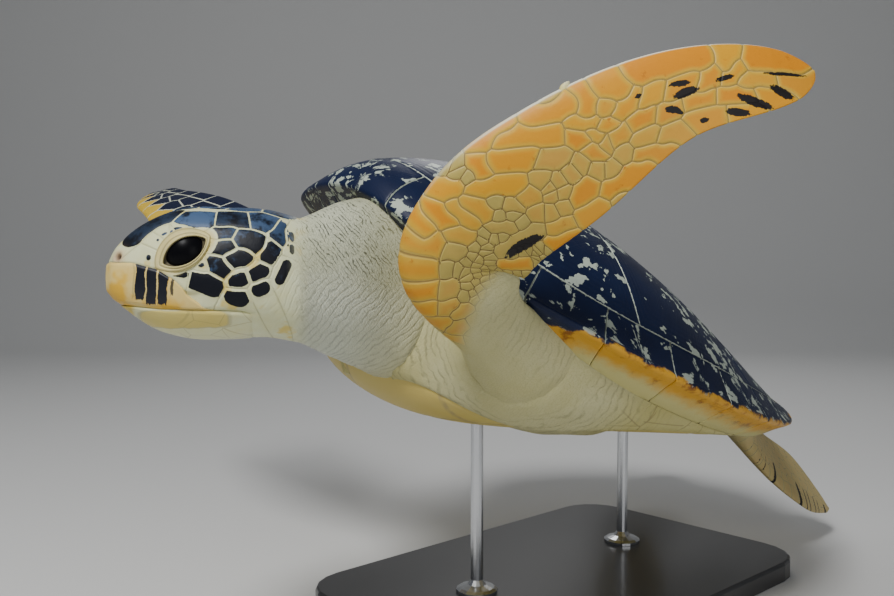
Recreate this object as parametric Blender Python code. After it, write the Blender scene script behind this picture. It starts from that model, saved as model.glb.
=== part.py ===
"""A green sea turtle swimming, life size, held on a display stand.

Row frame: up is +Z, the turtle's nose heads along -Y, its left side is +X, and the origin is the
middle of the underside of the stand's base. The body is modelled level in a frame of its own, whose
origin is the middle of the shell, and hangs on an empty that tips it nose up, banks it to its left
and lifts it. In the plan of the shell, u runs forward and v to the left, and the rim is at radius 1.
"""

import math

import bmesh
import bpy
import numpy as np
from mathutils import Matrix

# The gap between neighbours, and shares of it: what a cutter grows by, and what a plate of the dome, the
# rim's inner edge, a side of a rim plate and the belly plate's edge give up
GAP = 0.0003
CUTTER_GROWTH = 1.4
SCUTE_INSET = 1.4
RIM_INSET = 1.5
RIM_TRIM = 0.7
PLASTRON_TRIM = 2.5

# How the body is held
NOSE_UP = math.radians(12)
BANK_LEFT = math.radians(15)
SHELL_HEIGHT = 0.28

# The shell's plan and dome
SHELL_LENGTH = 0.60
SHELL_HALF_WIDTH = 0.235
WIDER_FRONT = 0.13
RIM_RISE = 0.03
RIM_SADDLE = 0.012
NUCHAL_LIFT = 0.02
NUCHAL_SPREAD = 0.35
DOME_RISE = 0.071
DOME_ROUND = 2.7
DOME_EDGE = 1.02
DOME_FRONT = 0.3
DOME_SHOULDER = 1.5
DOME_FORWARD = 0.97

# Shell plates: their thickness, the seams along the spine as (u, half width), the outer corners of
# the spine plates as (u, v), and the ring of plates round the rim
SCUTE_THICKNESS = 0.004
SPINE_SEAMS = ((0.50, 0.15), (0.14, 0.14), (-0.20, 0.13), (-0.55, 0.10))
SPINE_CORNERS = ((0.34, 0.27), (-0.02, 0.26), (-0.37, 0.22))
RING_INNER = 0.89
RING_DEPTH = 0.024
NUCHAL_HALF_ANGLE = math.radians(9)
MARGINALS = 12
STEPS_PER_MARGINAL = 2
SIDE_STEPS = MARGINALS * STEPS_PER_MARGINAL
COSTAL_SEAM_STEPS = (1, 7, 12, 17, 21)
EDGE_STEPS = 2
# A plate's ring of points inside its outline, as a share of the way from its middle
INNER_RING = 0.55

# Belly: depth under the shell's middle, how much of it moves forward, and the plate that covers it
BELLY_DEPTH = 0.052
BELLY_FORWARD = 1.3
BELLY_BOW = 0.74
# The exponents of the belly's section, across and down: at the sides, and what they gain in front and behind
BELLY_ACROSS = (0.8, -0.3, 0.1)
BELLY_DOWN = (0.8, -0.2, 0.3)
PLASTRON_THICKNESS = 0.005
PLASTRON_EDGE = math.radians(14)
PLASTRON_NOTCH = math.radians(14)

# Head: where it is held, and its side and top outlines from the nape to the beak
HEAD_CENTRE = np.array((-0.006, -0.405, -0.032))
HEAD_FORWARD = np.array((-0.483, -0.822, -0.301))
HEAD_UP = np.array((-0.292, -0.173, 0.941))
HEAD_STATIONS = (-0.072, -0.050, -0.020, 0.010, 0.035, 0.050, 0.060, 0.065)
HEAD_TOP = (0.0370, 0.0425, 0.0437, 0.0430, 0.0335, 0.0228, 0.0122, 0.0025)
HEAD_BOTTOM = (-0.0560, -0.0520, -0.0530, -0.0515, -0.0430, -0.0325, -0.0240, -0.0180)
HEAD_HALF_WIDTH = (0.0400, 0.0455, 0.0455, 0.0400, 0.0315, 0.0240, 0.0165, 0.0070)
HEAD_RINGS = 13
HEAD_CORNERS = 20
# The rings crowd towards the beak by this exponent
HEAD_CROWDING = 0.9
# A section of the head or the neck: how far down its widest line is, and the exponents of its curves
WIDEST_LINE = 0.52
SECTION_ACROSS = 0.85
SECTION_RISE = 0.88
EYE_RADIUS = 0.0175
EYE_PLACE = (0.0060, 0.0262, 0.0095)
EYE_TILTS = np.radians((-60, -20, 20, 45, 70))
EYE_CORNERS = 14
# The cuts that part the beak and the jaw, in side view, and how far they reach ahead, aside and below
CUT_AHEAD = 0.080
CUT_ASIDE = 0.07
CUT_BELOW = -0.07
MOUTH_LINE = ((CUT_AHEAD, -0.0245), (0.052, -0.0276), (0.025, -0.0302), (-0.002, -0.0308))
BEAK_TOP = ((0.006, -0.0180), (0.0145, -0.0095), (0.0265, -0.0018), (0.044, 0.0030), (CUT_AHEAD, 0.0050))
JAW_HINGE = ((-0.030, -0.0318), (-0.044, -0.0345))

# Limbs, tail and stand
NEAR_ARM = ((0.128, -0.118, -0.032), (0.139, -0.186, -0.021), (0.144, -0.244, -0.002), (0.147, -0.280, 0.015),
            (0.147, -0.299, 0.037), (0.157, -0.300, 0.066), (0.188, -0.281, 0.121), (0.225, -0.239, 0.188),
            (0.254, -0.181, 0.2245), (0.263, -0.153, 0.237))
FAR_ARM = ((-0.080, -0.140, -0.045), (-0.125, -0.180, -0.048), (-0.165, -0.212, -0.047),
           (-0.215, -0.232, -0.043), (-0.290, -0.246, -0.036), (-0.380, -0.252, -0.034),
           (-0.450, -0.243, -0.038), (-0.516, -0.222, -0.040))
NEAR_LEADING = ((-0.25, -0.55, -0.80), (-0.66, -0.73, -0.13), (-0.66, -0.66, 0.36))
FAR_LEADING = ((0.10, -0.75, -0.65), (0.25, -0.73, -0.63), (0.25, -0.78, -0.55))
ARM_PLACES = (0.0, 0.13, 0.24, 0.31, 0.40, 0.50, 0.61, 0.78, 0.93, 1.0)
ARM_CHORD = (0.100, 0.080, 0.060, 0.064, 0.086, 0.092, 0.087, 0.061, 0.045, 0.016)
ARM_THICKNESS = (0.070, 0.060, 0.052, 0.046, 0.038, 0.030, 0.022, 0.014, 0.009, 0.003)
ARM_SIZES = (ARM_PLACES, ARM_CHORD, ARM_THICKNESS)
ARM_RINGS = 7
FLIPPER_RINGS = 11
ELBOW = 0.50
# Where a limb's section has become a foil, and how sharp its trailing edge is there
FOIL_FROM = 0.4
FOIL_SHARP = 0.42
LIMB_CORNERS = 14
# The claw: its place along the arm, its length, shares of it with the radius at each, its lean and flatness
CLAW_AT = 0.665
CLAW_LENGTH = 0.006
CLAW_SECTIONS = ((-0.5, 0.0036), (0.3, 0.0032), (0.7, 0.0022), (1.0, 0.0010))
CLAW_LEAN = 0.25
CLAW_FLAT = 0.7
CLAW_CORNERS = 8
HIND_PATH = ((0.060, 0.175, -0.010), (0.080, 0.228, -0.046), (0.106, 0.293, -0.086),
             (0.127, 0.357, -0.108), (0.144, 0.416, -0.131))
HIND_LEADING = ((0.56, -0.75, -0.35),) * 3
HIND_PLACES = (0.0, 0.22, 0.48, 0.74, 1.0)
HIND_CHORD = (0.066, 0.068, 0.078, 0.088, 0.016)
HIND_THICKNESS = (0.050, 0.042, 0.020, 0.010, 0.003)
HIND_SIZES = (HIND_PLACES, HIND_CHORD, HIND_THICKNESS)
HIND_RINGS = 9
HIND_CORNERS = 12
TAIL_PATH = ((0.0, 0.180, -0.020), (0.0, 0.262, -0.044), (0.0, 0.330, -0.056))
TAIL_PLACES = (0.0, 0.5, 1.0)
TAIL_WIDTH = (0.056, 0.038, 0.010)
TAIL_RINGS = 5
TAIL_CORNERS = 8
BASE_SIZE = (0.30, 0.46)
BASE_CORNER = 0.05
BASE_CORNER_STEPS = 6
# The base's levels, as the inset and the height of each: a small chamfer below and a rounder one on top
BASE_LEVELS = ((0.0010, 0.0), (0.0, 0.0010), (0.0, 0.0170), (0.0009, 0.0191), (0.0030, 0.0200))
ROD_RADIUS = 0.006
ROD_CORNERS = 14
# The rod's turned foot, as radii and heights over the base
ROD_FOOT = ((0.020, 0.0), (0.020, 0.003), (0.017, 0.005), (0.009, 0.0075), (ROD_RADIUS, 0.012))
ROD_TOP = SHELL_HEIGHT - 0.04
ROD_PLACES = {"front": (-0.012, -0.115), "rear": (-0.012, 0.115)}

COLOURS = {
    "scute": ((0.020, 0.024, 0.040), 0.32, 0.0),
    "plastron": ((0.62, 0.55, 0.33), 0.45, 0.0),
    "skin": ((0.55, 0.56, 0.47), 0.60, 0.0),
    "flipper": ((0.62, 0.36, 0.07), 0.50, 0.0),
    "horn": ((0.66, 0.45, 0.14), 0.35, 0.0),
    "eye": ((0.010, 0.010, 0.012), 0.05, 0.0),
    "base": ((0.045, 0.045, 0.050), 0.45, 0.0),
    "rod": ((0.60, 0.61, 0.62), 0.28, 1.0),
}


def clear_scene():
    for obj in list(bpy.data.objects):
        bpy.data.objects.remove(obj, do_unlink=True)


def material(name):
    """One Principled material for each finish, made when it is first asked for."""
    if name in bpy.data.materials:
        return bpy.data.materials[name]
    colour, roughness, metallic = COLOURS[name]
    made = bpy.data.materials.new(name)
    made.use_nodes = True
    shader = made.node_tree.nodes["Principled BSDF"]
    shader.inputs["Base Color"].default_value = (*colour, 1)
    shader.inputs["Roughness"].default_value = roughness
    shader.inputs["Metallic"].default_value = metallic
    return made


# ---------------------------------------------------------------- meshes


def through(knots, values, where):
    """A smooth curve through a few chosen values: cubic pieces that share their slopes at the knots."""
    knots = np.asarray(knots, float)
    values = np.asarray(values, float)
    where = np.asarray(where, float)
    slopes = np.gradient(values, knots, axis=0)
    cell = np.clip(np.searchsorted(knots, where, side="right") - 1, 0, len(knots) - 2)
    width = knots[cell + 1] - knots[cell]
    part = (where - knots[cell]) / width
    if values.ndim > 1:
        width, part = width[:, None], part[:, None]
    start, end = values[cell], values[cell + 1]
    bend = start * (1 + 2 * part) * (1 - part) ** 2 + end * part**2 * (3 - 2 * part)
    return bend + width * part * (1 - part) * (slopes[cell] * (1 - part) - slopes[cell + 1] * part)


def band(first, second, count):
    """Triangles between two closed rings of points that start at these indices."""
    here = np.arange(count)
    after = (here + 1) % count
    lower = np.stack([first + here, first + after, second + after], 1)
    upper = np.stack([first + here, second + after, second + here], 1)
    return np.concatenate([lower, upper])


def fan(ring, count, middle):
    here = np.arange(count)
    return np.stack([ring + here, ring + (here + 1) % count, np.full(count, middle)], 1)


def stack(rings):
    """Points and triangles of a closed solid from rings of equal count, with a fan over each end."""
    rings = np.asarray(rings, float)
    levels, count = rings.shape[:2]
    points = np.concatenate([rings.reshape(-1, 3), rings[0].mean(0)[None], rings[-1].mean(0)[None]])
    faces = [band(level * count, (level + 1) * count, count) for level in range(levels - 1)]
    faces.append(fan(0, count, levels * count))
    faces.append(fan((levels - 1) * count, count, levels * count + 1))
    return points, np.concatenate(faces)


def solid(name, shape, finish, parent=None):
    """A named object from points and triangles, welded and facing outwards."""
    points, faces = shape
    mesh = bpy.data.meshes.new(name)
    mesh.from_pydata(points.tolist(), [], faces.tolist())
    work = bmesh.new()
    work.from_mesh(mesh)
    bmesh.ops.remove_doubles(work, verts=work.verts, dist=1e-6)
    bmesh.ops.recalc_face_normals(work, faces=work.faces)
    if work.calc_volume(signed=True) < 0:
        bmesh.ops.reverse_faces(work, faces=work.faces)
    work.to_mesh(mesh)
    work.free()
    mesh.materials.append(material(finish))
    obj = bpy.data.objects.new(name, mesh)
    bpy.context.scene.collection.objects.link(obj)
    obj.parent = parent
    return obj


def cutter_from(obj):
    """A hidden copy of a piece, grown by a little more than the gap."""
    copy = obj.copy()
    copy.data = obj.data.copy()
    copy.name = obj.name + "_cutter"
    copy.hide_render = True
    copy.display_type = "WIRE"
    bpy.context.scene.collection.objects.link(copy)
    points = np.empty(len(copy.data.vertices) * 3)
    normals = np.empty_like(points)
    copy.data.vertices.foreach_get("co", points)
    copy.data.vertices.foreach_get("normal", normals)
    copy.data.vertices.foreach_set("co", points + normals * GAP * CUTTER_GROWTH)
    return copy


def keep_largest(obj):
    """Removes the crumbs that a cut leaves, such as the end of a limb inside the trunk."""
    work = bmesh.new()
    work.from_mesh(obj.data)
    bmesh.ops.remove_doubles(work, verts=work.verts, dist=2e-5)
    left = set(work.verts)
    islands = []
    while left:
        island, edge = set(), [left.pop()]
        while edge:
            vert = edge.pop()
            island.add(vert)
            near = {e.other_vert(vert) for e in vert.link_edges} & left
            left -= near
            edge.extend(near)
        islands.append(island)
    islands.sort(key=len)
    loose = [vert for island in islands[:-1] for vert in island]
    bmesh.ops.delete(work, geom=loose, context="VERTS")
    bmesh.ops.triangulate(work, faces=work.faces)
    work.to_mesh(obj.data)
    work.free()


def boolean(obj, other, operation="DIFFERENCE"):
    """Applies one exact Boolean to a piece."""
    modifier = obj.modifiers.new(operation, "BOOLEAN")
    modifier.operation = operation
    modifier.solver = "EXACT"
    modifier.object = other
    bpy.context.view_layer.update()
    graph = bpy.context.evaluated_depsgraph_get()
    result = bpy.data.meshes.new_from_object(obj.evaluated_get(graph))
    obj.modifiers.clear()
    obj.data = result


def cut(obj, others):
    """Cuts a piece back from its neighbours, so that it meets each of them across the gap."""
    for other in others:
        cutter = cutter_from(other)
        boolean(obj, cutter)
        bpy.data.objects.remove(cutter, do_unlink=True)
    keep_largest(obj)


# ---------------------------------------------------------------- shell


def plan(u, v):
    """The shell's outline seen from above: an egg, wider in front."""
    return SHELL_HALF_WIDTH * v * (1 + WIDER_FRONT * u), -0.5 * SHELL_LENGTH * u


def shell_top(uv):
    """The top of the shell over a point of its plan: a rising rim and a dome fullest in front."""
    u, v = uv[:, 0], uv[:, 1]
    radius = np.minimum(np.hypot(u, v), 1)
    x, y = plan(u, v)
    lift = NUCHAL_LIFT * np.exp(-((np.arctan2(v, u) / NUCHAL_SPREAD) ** 2)) * radius**6
    ahead = np.maximum(u, 0)
    edge = DOME_EDGE - DOME_FRONT * ahead**4 + DOME_SHOULDER * (ahead * v) ** 2
    dome = DOME_RISE * (1 - radius**DOME_ROUND) ** edge * (1 + DOME_FORWARD * u)
    return np.stack([x, y, RIM_RISE * u + RIM_SADDLE * (u * u - v * v) + lift + dome], 1)


def shell_below(uv, depth):
    """The same place, moved down along the dome's normal."""
    step = 1e-4
    along_u = shell_top(uv + (step, 0)) - shell_top(uv - (step, 0))
    along_v = shell_top(uv + (0, step)) - shell_top(uv - (0, step))
    normal = np.cross(along_v, along_u)
    normal *= np.sign(normal[:, 2:]) / np.linalg.norm(normal, axis=1, keepdims=True)
    return shell_top(uv) - depth * normal


def ring_angle(step):
    """The angle of a step round the rim: 0 in front, counted to the left, and negative to the right."""
    if step == 0:
        return 0.0
    size = (math.pi - NUCHAL_HALF_ANGLE) / SIDE_STEPS
    return math.copysign(NUCHAL_HALF_ANGLE + size * (abs(step) - 1), step)


def ring_angles():
    left = [ring_angle(step) for step in range(SIDE_STEPS + 2)]
    right = [2 * math.pi + ring_angle(step) for step in range(-SIDE_STEPS, 0)]
    return np.array(left + right)


def on_ring(step, radius=RING_INNER):
    angle = ring_angle(step)
    return radius * math.cos(angle), radius * math.sin(angle)


def outline(corners):
    """A plate's outline. Between two steps of the ring it follows the ring, and elsewhere it is straight."""
    points = []
    for here, after in zip(corners, corners[1:] + corners[:1]):
        if isinstance(here, int) and isinstance(after, int):
            points += [on_ring(step) for step in range(here, after)]
            continue
        start = np.array(on_ring(here) if isinstance(here, int) else here)
        end = np.array(on_ring(after) if isinstance(after, int) else after)
        points += [start + (end - start) * step / EDGE_STEPS for step in range(EDGE_STEPS)]
    return np.array(points)


def mirrored(corner):
    return -corner if isinstance(corner, int) else (corner[0], -corner[1])


def plate_outlines():
    """Every plate of the dome by name, as an outline in the plan."""
    front, *sides, rear = [step + 1 for step in COSTAL_SEAM_STEPS]
    seams, corners = SPINE_SEAMS, SPINE_CORNERS
    plates = {"vertebral_1": outline([-front, front, seams[0], mirrored(seams[0])])}
    for place in range(3):
        left = [seams[place], corners[place], seams[place + 1]]
        right = [mirrored(corner) for corner in reversed(left)]
        plates[f"vertebral_{place + 2}"] = outline(left + right)
    # The last spine plate reaches the ring on both sides of the tail
    tail = [on_ring(step) for step in range(rear, SIDE_STEPS + 1)]
    round_tail = tail + [on_ring(SIDE_STEPS + 1)] + [mirrored(corner) for corner in reversed(tail)]
    left = outline([seams[3], tuple(round_tail[0])])[:EDGE_STEPS]
    right = outline([tuple(round_tail[-1]), mirrored(seams[3])])[:EDGE_STEPS]
    across = outline([mirrored(seams[3]), seams[3]])[:EDGE_STEPS]
    plates["vertebral_5"] = np.array([*left, *round_tail[:-1], *right, *across])
    costals = ([front, sides[0], corners[0], seams[0]],
               [sides[0], sides[1], corners[1], seams[1], corners[0]],
               [sides[1], sides[2], corners[2], seams[2], corners[1]],
               [sides[2], rear, seams[3], corners[2]])
    for place, corner_list in enumerate(costals, 1):
        left = outline(corner_list)
        plates[f"costal_left_{place}"] = left
        plates[f"costal_right_{place}"] = left * (1, -1)
    return plates


def patch(edge):
    """A plate's plan as points and triangles: its outline, a ring inside it and its middle."""
    middle = edge.mean(0)
    points = np.vstack([edge, middle + INNER_RING * (edge - middle), middle])
    count = len(edge)
    return points, np.concatenate([band(0, count, count), fan(count, count, 2 * count)])


def scute(edge):
    """A shell plate, from the dome down by its thickness."""
    middle = edge.mean(0)
    inward = middle - edge
    inset = SCUTE_INSET * GAP / SHELL_HALF_WIDTH
    edge = edge + inset * inward / np.linalg.norm(inward, axis=1, keepdims=True)
    plan_points, faces = patch(edge)
    count, total = len(edge), len(plan_points)
    points = np.vstack([shell_top(plan_points), shell_below(plan_points, SCUTE_THICKNESS)])
    return points, np.concatenate([faces, faces[:, ::-1] + total, band(0, total, count)[:, ::-1]])


# The ring of plates reaches down by RING_DEPTH, and by these shares of it more at the sides and in front
RING_AT_SIDES = 0.1
RING_IN_FRONT = 0.3
# The section of the ring: radii over its edge, then radius and share of its depth for the way back underneath
RIM_OVER = (0.925, 0.965, 1.0)
RIM_UNDER = ((0.995, 0.15), (0.96, 0.45), (0.92, 0.80))


def ring_depth(angle):
    """How far the ring of plates reaches down at its inner edge: most in front, least behind."""
    return RING_DEPTH * (1 + RING_AT_SIDES * np.sin(angle) ** 2 + RING_IN_FRONT * np.cos(angle))


def rim_section(angle):
    """The section of a plate of the rim: over the edge and back underneath."""
    inner = RING_INNER + RIM_INSET * GAP / SHELL_HALF_WIDTH
    direction = np.array([math.cos(angle), math.sin(angle)])
    over = shell_top(np.array([inner, *RIM_OVER])[:, None] * direction)
    rim_height = over[-1, 2]
    under = []
    for radius, drop in (*RIM_UNDER, (inner, 1.0)):
        x, y = plan(*(radius * direction))
        under.append((x, y, rim_height - drop * ring_depth(angle)))
    return np.vstack([over, under])


def rim_plate(start, end):
    """A plate of the rim between two angles, as a stack of its sections."""
    trim = RIM_TRIM * GAP / SHELL_HALF_WIDTH
    angles = np.linspace(start + trim, end - trim, STEPS_PER_MARGINAL + 1)
    return stack([rim_section(angle) for angle in angles])


# ---------------------------------------------------------------- trunk and belly


def belly(angle, turn):
    """The underside: at turn 0 the inner edge of the ring of plates, at a quarter turn the middle.

    Its section is a superellipse, boxy in front where the breast is full and rounder behind.
    """
    forward = np.cos(angle)
    front, rear = np.maximum(forward, 0) ** 2, np.maximum(-forward, 0) ** 2
    across, down = (sides + ahead * front + behind * rear
                    for sides, ahead, behind in (BELLY_ACROSS, BELLY_DOWN))
    reach = np.cos(turn) ** across
    sink = np.sin(turn) ** down
    x, y = plan(RING_INNER * reach * forward, RING_INNER * reach * np.sin(angle))
    rim = RIM_RISE * forward + RIM_SADDLE * np.cos(2 * angle)
    rim = rim + NUCHAL_LIFT * np.exp(-((np.minimum(angle, 2 * math.pi - angle) / NUCHAL_SPREAD) ** 2))
    ahead = reach * forward
    depth = BELLY_DEPTH * (1 + BELLY_FORWARD * ahead + BELLY_BOW * ahead**2)
    height = (rim - ring_depth(angle)) * (1 - sink) - depth * sink
    return np.stack([x, y, height], -1)


def belly_ring(turns, depth=0.0):
    """A ring of the underside, moved in along its normal by depth."""
    angle = ring_angles()
    turn = np.clip(np.broadcast_to(turns, angle.shape), 0, math.pi / 2)
    step = 1e-3
    turn_in = np.clip(turn, step, math.pi / 2 - step)
    along = belly(angle, turn_in + step) - belly(angle, turn_in - step)
    round_ = belly(angle + step, turn_in) - belly(angle - step, turn_in)
    normal = np.cross(along, round_)
    length = np.linalg.norm(normal, axis=1, keepdims=True)
    normal = np.where(length > 1e-12, normal / np.maximum(length, 1e-12), (0, 0, -1))
    normal *= np.where(normal[:, 2:] > 0, -1, 1)
    return belly(angle, turn) - depth * normal


def plastron_edge():
    """The turn at which the belly plate starts: it is notched where the limbs leave the body."""
    return PLASTRON_EDGE + PLASTRON_NOTCH * np.sin(2 * ring_angles()) ** 2


# Rings of the belly plate from its edge to the middle, and the trunk's ring between the wall and that edge
PLASTRON_RINGS = (0.22, 0.48, 0.76)
TRUNK_RING = 0.45


def plastron_rings(depth, trim=0.0):
    """The rings of the belly plate from its edge, which is drawn in by trim, towards its middle."""
    edge = plastron_edge()
    inner = [belly_ring(edge + (math.pi / 2 - edge) * part, depth) for part in PLASTRON_RINGS]
    return [belly_ring(edge + trim, depth)] + inner


def plastron():
    """The belly plate: its outer face on the belly, its inner face one thickness in."""
    trim = PLASTRON_TRIM * GAP / RING_DEPTH
    outer, inner = plastron_rings(0.0, trim), plastron_rings(PLASTRON_THICKNESS, trim)
    return stack(outer[::-1] + inner)


def trunk(plates):
    """The body inside the shell: under the plates, down the wall behind the rim, and over the belly."""
    points, faces, total = [], [], 0
    depth = SCUTE_THICKNESS + GAP
    for edge in plates.values():
        plan_points, plate_faces = patch(edge)
        points.append(shell_below(plan_points, depth))
        faces.append(plate_faces + total)
        total += len(plan_points)
    angles = ring_angles()
    count = len(angles)
    wall = shell_below(RING_INNER * np.stack([np.cos(angles), np.sin(angles)], 1), depth)
    edge = plastron_edge()
    rings = [wall, belly_ring(0.0), belly_ring(TRUNK_RING * edge), belly_ring(edge)]
    rings += plastron_rings(PLASTRON_THICKNESS + GAP)
    points += rings + [rings[-1].mean(0)[None]]
    for level in range(len(rings) - 1):
        faces.append(band(total + level * count, total + (level + 1) * count, count))
    last = total + (len(rings) - 1) * count
    faces.append(fan(last, count, last + count))
    return np.vstack(points), np.concatenate(faces)


# ---------------------------------------------------------------- head and neck


def head_frame():
    forward = HEAD_FORWARD / np.linalg.norm(HEAD_FORWARD)
    left = np.cross(HEAD_UP, forward)
    left /= np.linalg.norm(left)
    return forward, left, np.cross(forward, left)


def head_point(forward_by, left_by, up_by):
    forward, left, up = head_frame()
    place = np.multiply.outer(forward_by, forward) + np.multiply.outer(left_by, left)
    return HEAD_CENTRE + place + np.multiply.outer(up_by, up)


def section(width, top, bottom, count):
    """A closed section: two half superellipses that share their widest line."""
    angle = np.linspace(0, 2 * math.pi, count, endpoint=False)
    across, rise = np.cos(angle), np.sin(angle)
    middle = top + WIDEST_LINE * (bottom - top)
    reach = np.where(rise > 0, top - middle, middle - bottom)
    side = width * np.sign(across) * np.abs(across) ** SECTION_ACROSS
    return side, middle + reach * np.sign(rise) * np.abs(rise) ** SECTION_RISE


def whole_head():
    """The head with its jaws closed, as rings from the nape to the beak."""
    ends = np.linspace(0, math.pi / 2, HEAD_RINGS)
    places = HEAD_STATIONS[0] + (HEAD_STATIONS[-1] - HEAD_STATIONS[0]) * np.sin(ends) ** HEAD_CROWDING
    rings = []
    for place in places:
        width, top, bottom = (float(through(HEAD_STATIONS, values, [place])[0])
                              for values in (HEAD_HALF_WIDTH, HEAD_TOP, HEAD_BOTTOM))
        side, height = section(width, top, bottom, HEAD_CORNERS)
        rings.append(head_point(np.full(HEAD_CORNERS, place), side, height))
    return stack(rings)


def prism(side_view):
    """A slab across the head with this outline in side view, as (forward, up) points."""
    side_view = np.asarray(side_view, float)
    across = np.ones(len(side_view))
    return stack([head_point(side_view[:, 0], across * CUT_ASIDE * sign, side_view[:, 1])
                  for sign in (-1, 1)])


def eyeball(side):
    """A ball whose pole looks out of the head."""
    forward, out, up = EYE_PLACE
    middle = head_point(forward, out * side, up)
    directions = head_frame()
    rings = []
    turns = np.linspace(0, 2 * math.pi, EYE_CORNERS, endpoint=False)
    for tilt in EYE_TILTS:
        spread = np.outer(np.cos(turns), directions[0]) + np.outer(np.sin(turns), directions[2])
        out_by = side * math.sin(tilt) * directions[1]
        rings.append(middle + EYE_RADIUS * (math.cos(tilt) * spread + out_by))
    return stack(rings)


# The neck at its start, at a place along it and at its end: how wide, and how far above and below its path
NECK_PLACES = (0, 0.45, 1)
NECK_HALF_WIDTH = (0.0400, 0.0530, 0.0850)
NECK_OVER = (0.0405, 0.0665, 0.0570)
NECK_UNDER = (0.0525, 0.0680, 0.0700)
NECK_START_DROP = 0.0035
NECK_PATH = ((0.020, -0.285, -0.010), (0.0, -0.170, -0.005))
NECK_SIDES = ((0.93, -0.25, 0.1), (1.0, 0.0, 0.0))
NECK_UPS = ((-0.2, -0.1, 0.95), (0.0, 0.0, 1.0))
NECK_RINGS = 6
NECK_CORNERS = 20


def neck():
    """From the nape back into the trunk, turning from the head's level to the body's."""
    _, left, up = head_frame()
    nape = head_point(HEAD_STATIONS[0] - GAP, 0.0, -NECK_START_DROP)
    path = np.array([nape, *NECK_PATH])
    sides = np.array([left, *NECK_SIDES])
    ups = np.array([up, *NECK_UPS])
    rings = []
    for at in np.linspace(0, 1, NECK_RINGS):
        centre, side, rise = (through(NECK_PLACES, values, [at])[0] for values in (path, sides, ups))
        width, over, under = (float(through(NECK_PLACES, values, [at])[0])
                              for values in (NECK_HALF_WIDTH, NECK_OVER, NECK_UNDER))
        across, lift = section(width, over, -under, NECK_CORNERS)
        rings.append(centre + np.outer(across, side) + np.outer(lift, rise))
    return stack(rings)


def make_head(body):
    """Parts the head with thin cuts: skull and throat, upper beak, lower jaw and two eyes."""
    head = solid("head", whole_head(), "skin", body)
    below = [(forward, up - GAP) for forward, up in MOUTH_LINE]
    jaw_side = below + list(JAW_HINGE) + [(JAW_HINGE[-1][0], CUT_BELOW), (CUT_AHEAD, CUT_BELOW)]
    prisms = {"beak_upper": MOUTH_LINE + BEAK_TOP, "jaw_lower": jaw_side}
    parts = {}
    for name, side_view in prisms.items():
        piece = solid(name, whole_head(), "horn", body)
        shape = solid(name + "_shape", prism(side_view), "horn", body)
        boolean(piece, shape, "INTERSECT")
        keep_largest(piece)
        cutter = cutter_from(shape)
        boolean(head, cutter)
        for helper in (shape, cutter):
            bpy.data.objects.remove(helper, do_unlink=True)
        parts[name] = piece
    for side, name in ((1, "eye_left"), (-1, "eye_right")):
        parts[name] = solid(name, eyeball(side), "eye", body)
        cut(head, [parts[name]])
    return head


# ---------------------------------------------------------------- limbs


def limb_rings(path, leading, sizes, places, count=LIMB_CORNERS, sharp=FOIL_SHARP):
    """Sections of a limb along a smooth path, round at the root and a thin foil further out.

    sizes holds places along the limb with the chord and the thickness at each. A section runs from
    its leading edge over the top to its trailing edge and back underneath.
    """
    path = np.asarray(path, float)
    knots = np.append(0, np.cumsum(np.linalg.norm(np.diff(path, axis=0), axis=1)))
    knots /= knots[-1]
    places = np.asarray(places, float)
    centres = through(knots, path, places)
    step = 1e-3
    along = through(knots, path, np.clip(places + step, 0, 1)) - through(knots, path, places - step)
    edge = through((0, 0.5, 1), leading, places)
    along /= np.linalg.norm(along, axis=1, keepdims=True)
    edge -= (edge * along).sum(1, keepdims=True) * along
    edge /= np.linalg.norm(edge, axis=1, keepdims=True)
    out = np.cross(along, edge)
    turn = np.linspace(0, 2 * math.pi, count, endpoint=False)
    chord, thick = (through(sizes[0], values, places) for values in sizes[1:])
    foil = sharp * np.clip(places / FOIL_FROM, 0, 1)[:, None]
    profile = np.sin(turn) * (1 - foil + foil * np.cos(turn))
    reach = 0.5 * chord[:, None] * np.cos(turn)
    rise = 0.5 * thick[:, None] * profile
    return centres[:, None] + reach[..., None] * edge[:, None] + rise[..., None] * out[:, None]


def tip_places(start, end, count):
    """Places along a limb that close up towards its tip."""
    return start + (end - start) * np.sin(np.linspace(0, math.pi / 2, count))


def claw(path, leading):
    """A short curved cone on the leading edge, pointing outwards and towards the tip."""
    ring = limb_rings(path, leading, ARM_SIZES, (CLAW_AT, CLAW_AT + 0.02), 2)
    root, along = ring[0, 0], ring[1, 0] - ring[0, 0]
    along /= np.linalg.norm(along)
    outwards = ring[0, 0] - ring[0, 1]
    outwards /= np.linalg.norm(outwards)
    upright = np.cross(along, outwards)
    turn = np.linspace(0, 2 * math.pi, CLAW_CORNERS, endpoint=False)
    around = np.outer(np.cos(turn), along) + CLAW_FLAT * np.outer(np.sin(turn), upright)
    rings = []
    for part, radius in CLAW_SECTIONS:
        middle = root + CLAW_LENGTH * (part * outwards + CLAW_LEAN * part**2 * along)
        rings.append(middle + radius * around)
    return stack(rings)


def make_arm(side, path, leading, body, around):
    """A fore limb: the upper arm up to the elbow, the flipper beyond it, and its claw."""
    arm_places = np.linspace(0, ELBOW, ARM_RINGS)
    flipper_places = tip_places(ELBOW + 2 * GAP, 1, FLIPPER_RINGS)
    arm_shape = stack(limb_rings(path, leading, ARM_SIZES, arm_places))
    arm = solid("upper_arm_" + side, arm_shape, "skin", body)
    cut(arm, around)
    flipper_shape = stack(limb_rings(path, leading, ARM_SIZES, flipper_places))
    flipper = solid("fore_flipper_" + side, flipper_shape, "flipper", body)
    cut(flipper, around)
    cut(solid("claw_" + side, claw(path, leading), "horn", body), [flipper])


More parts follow.
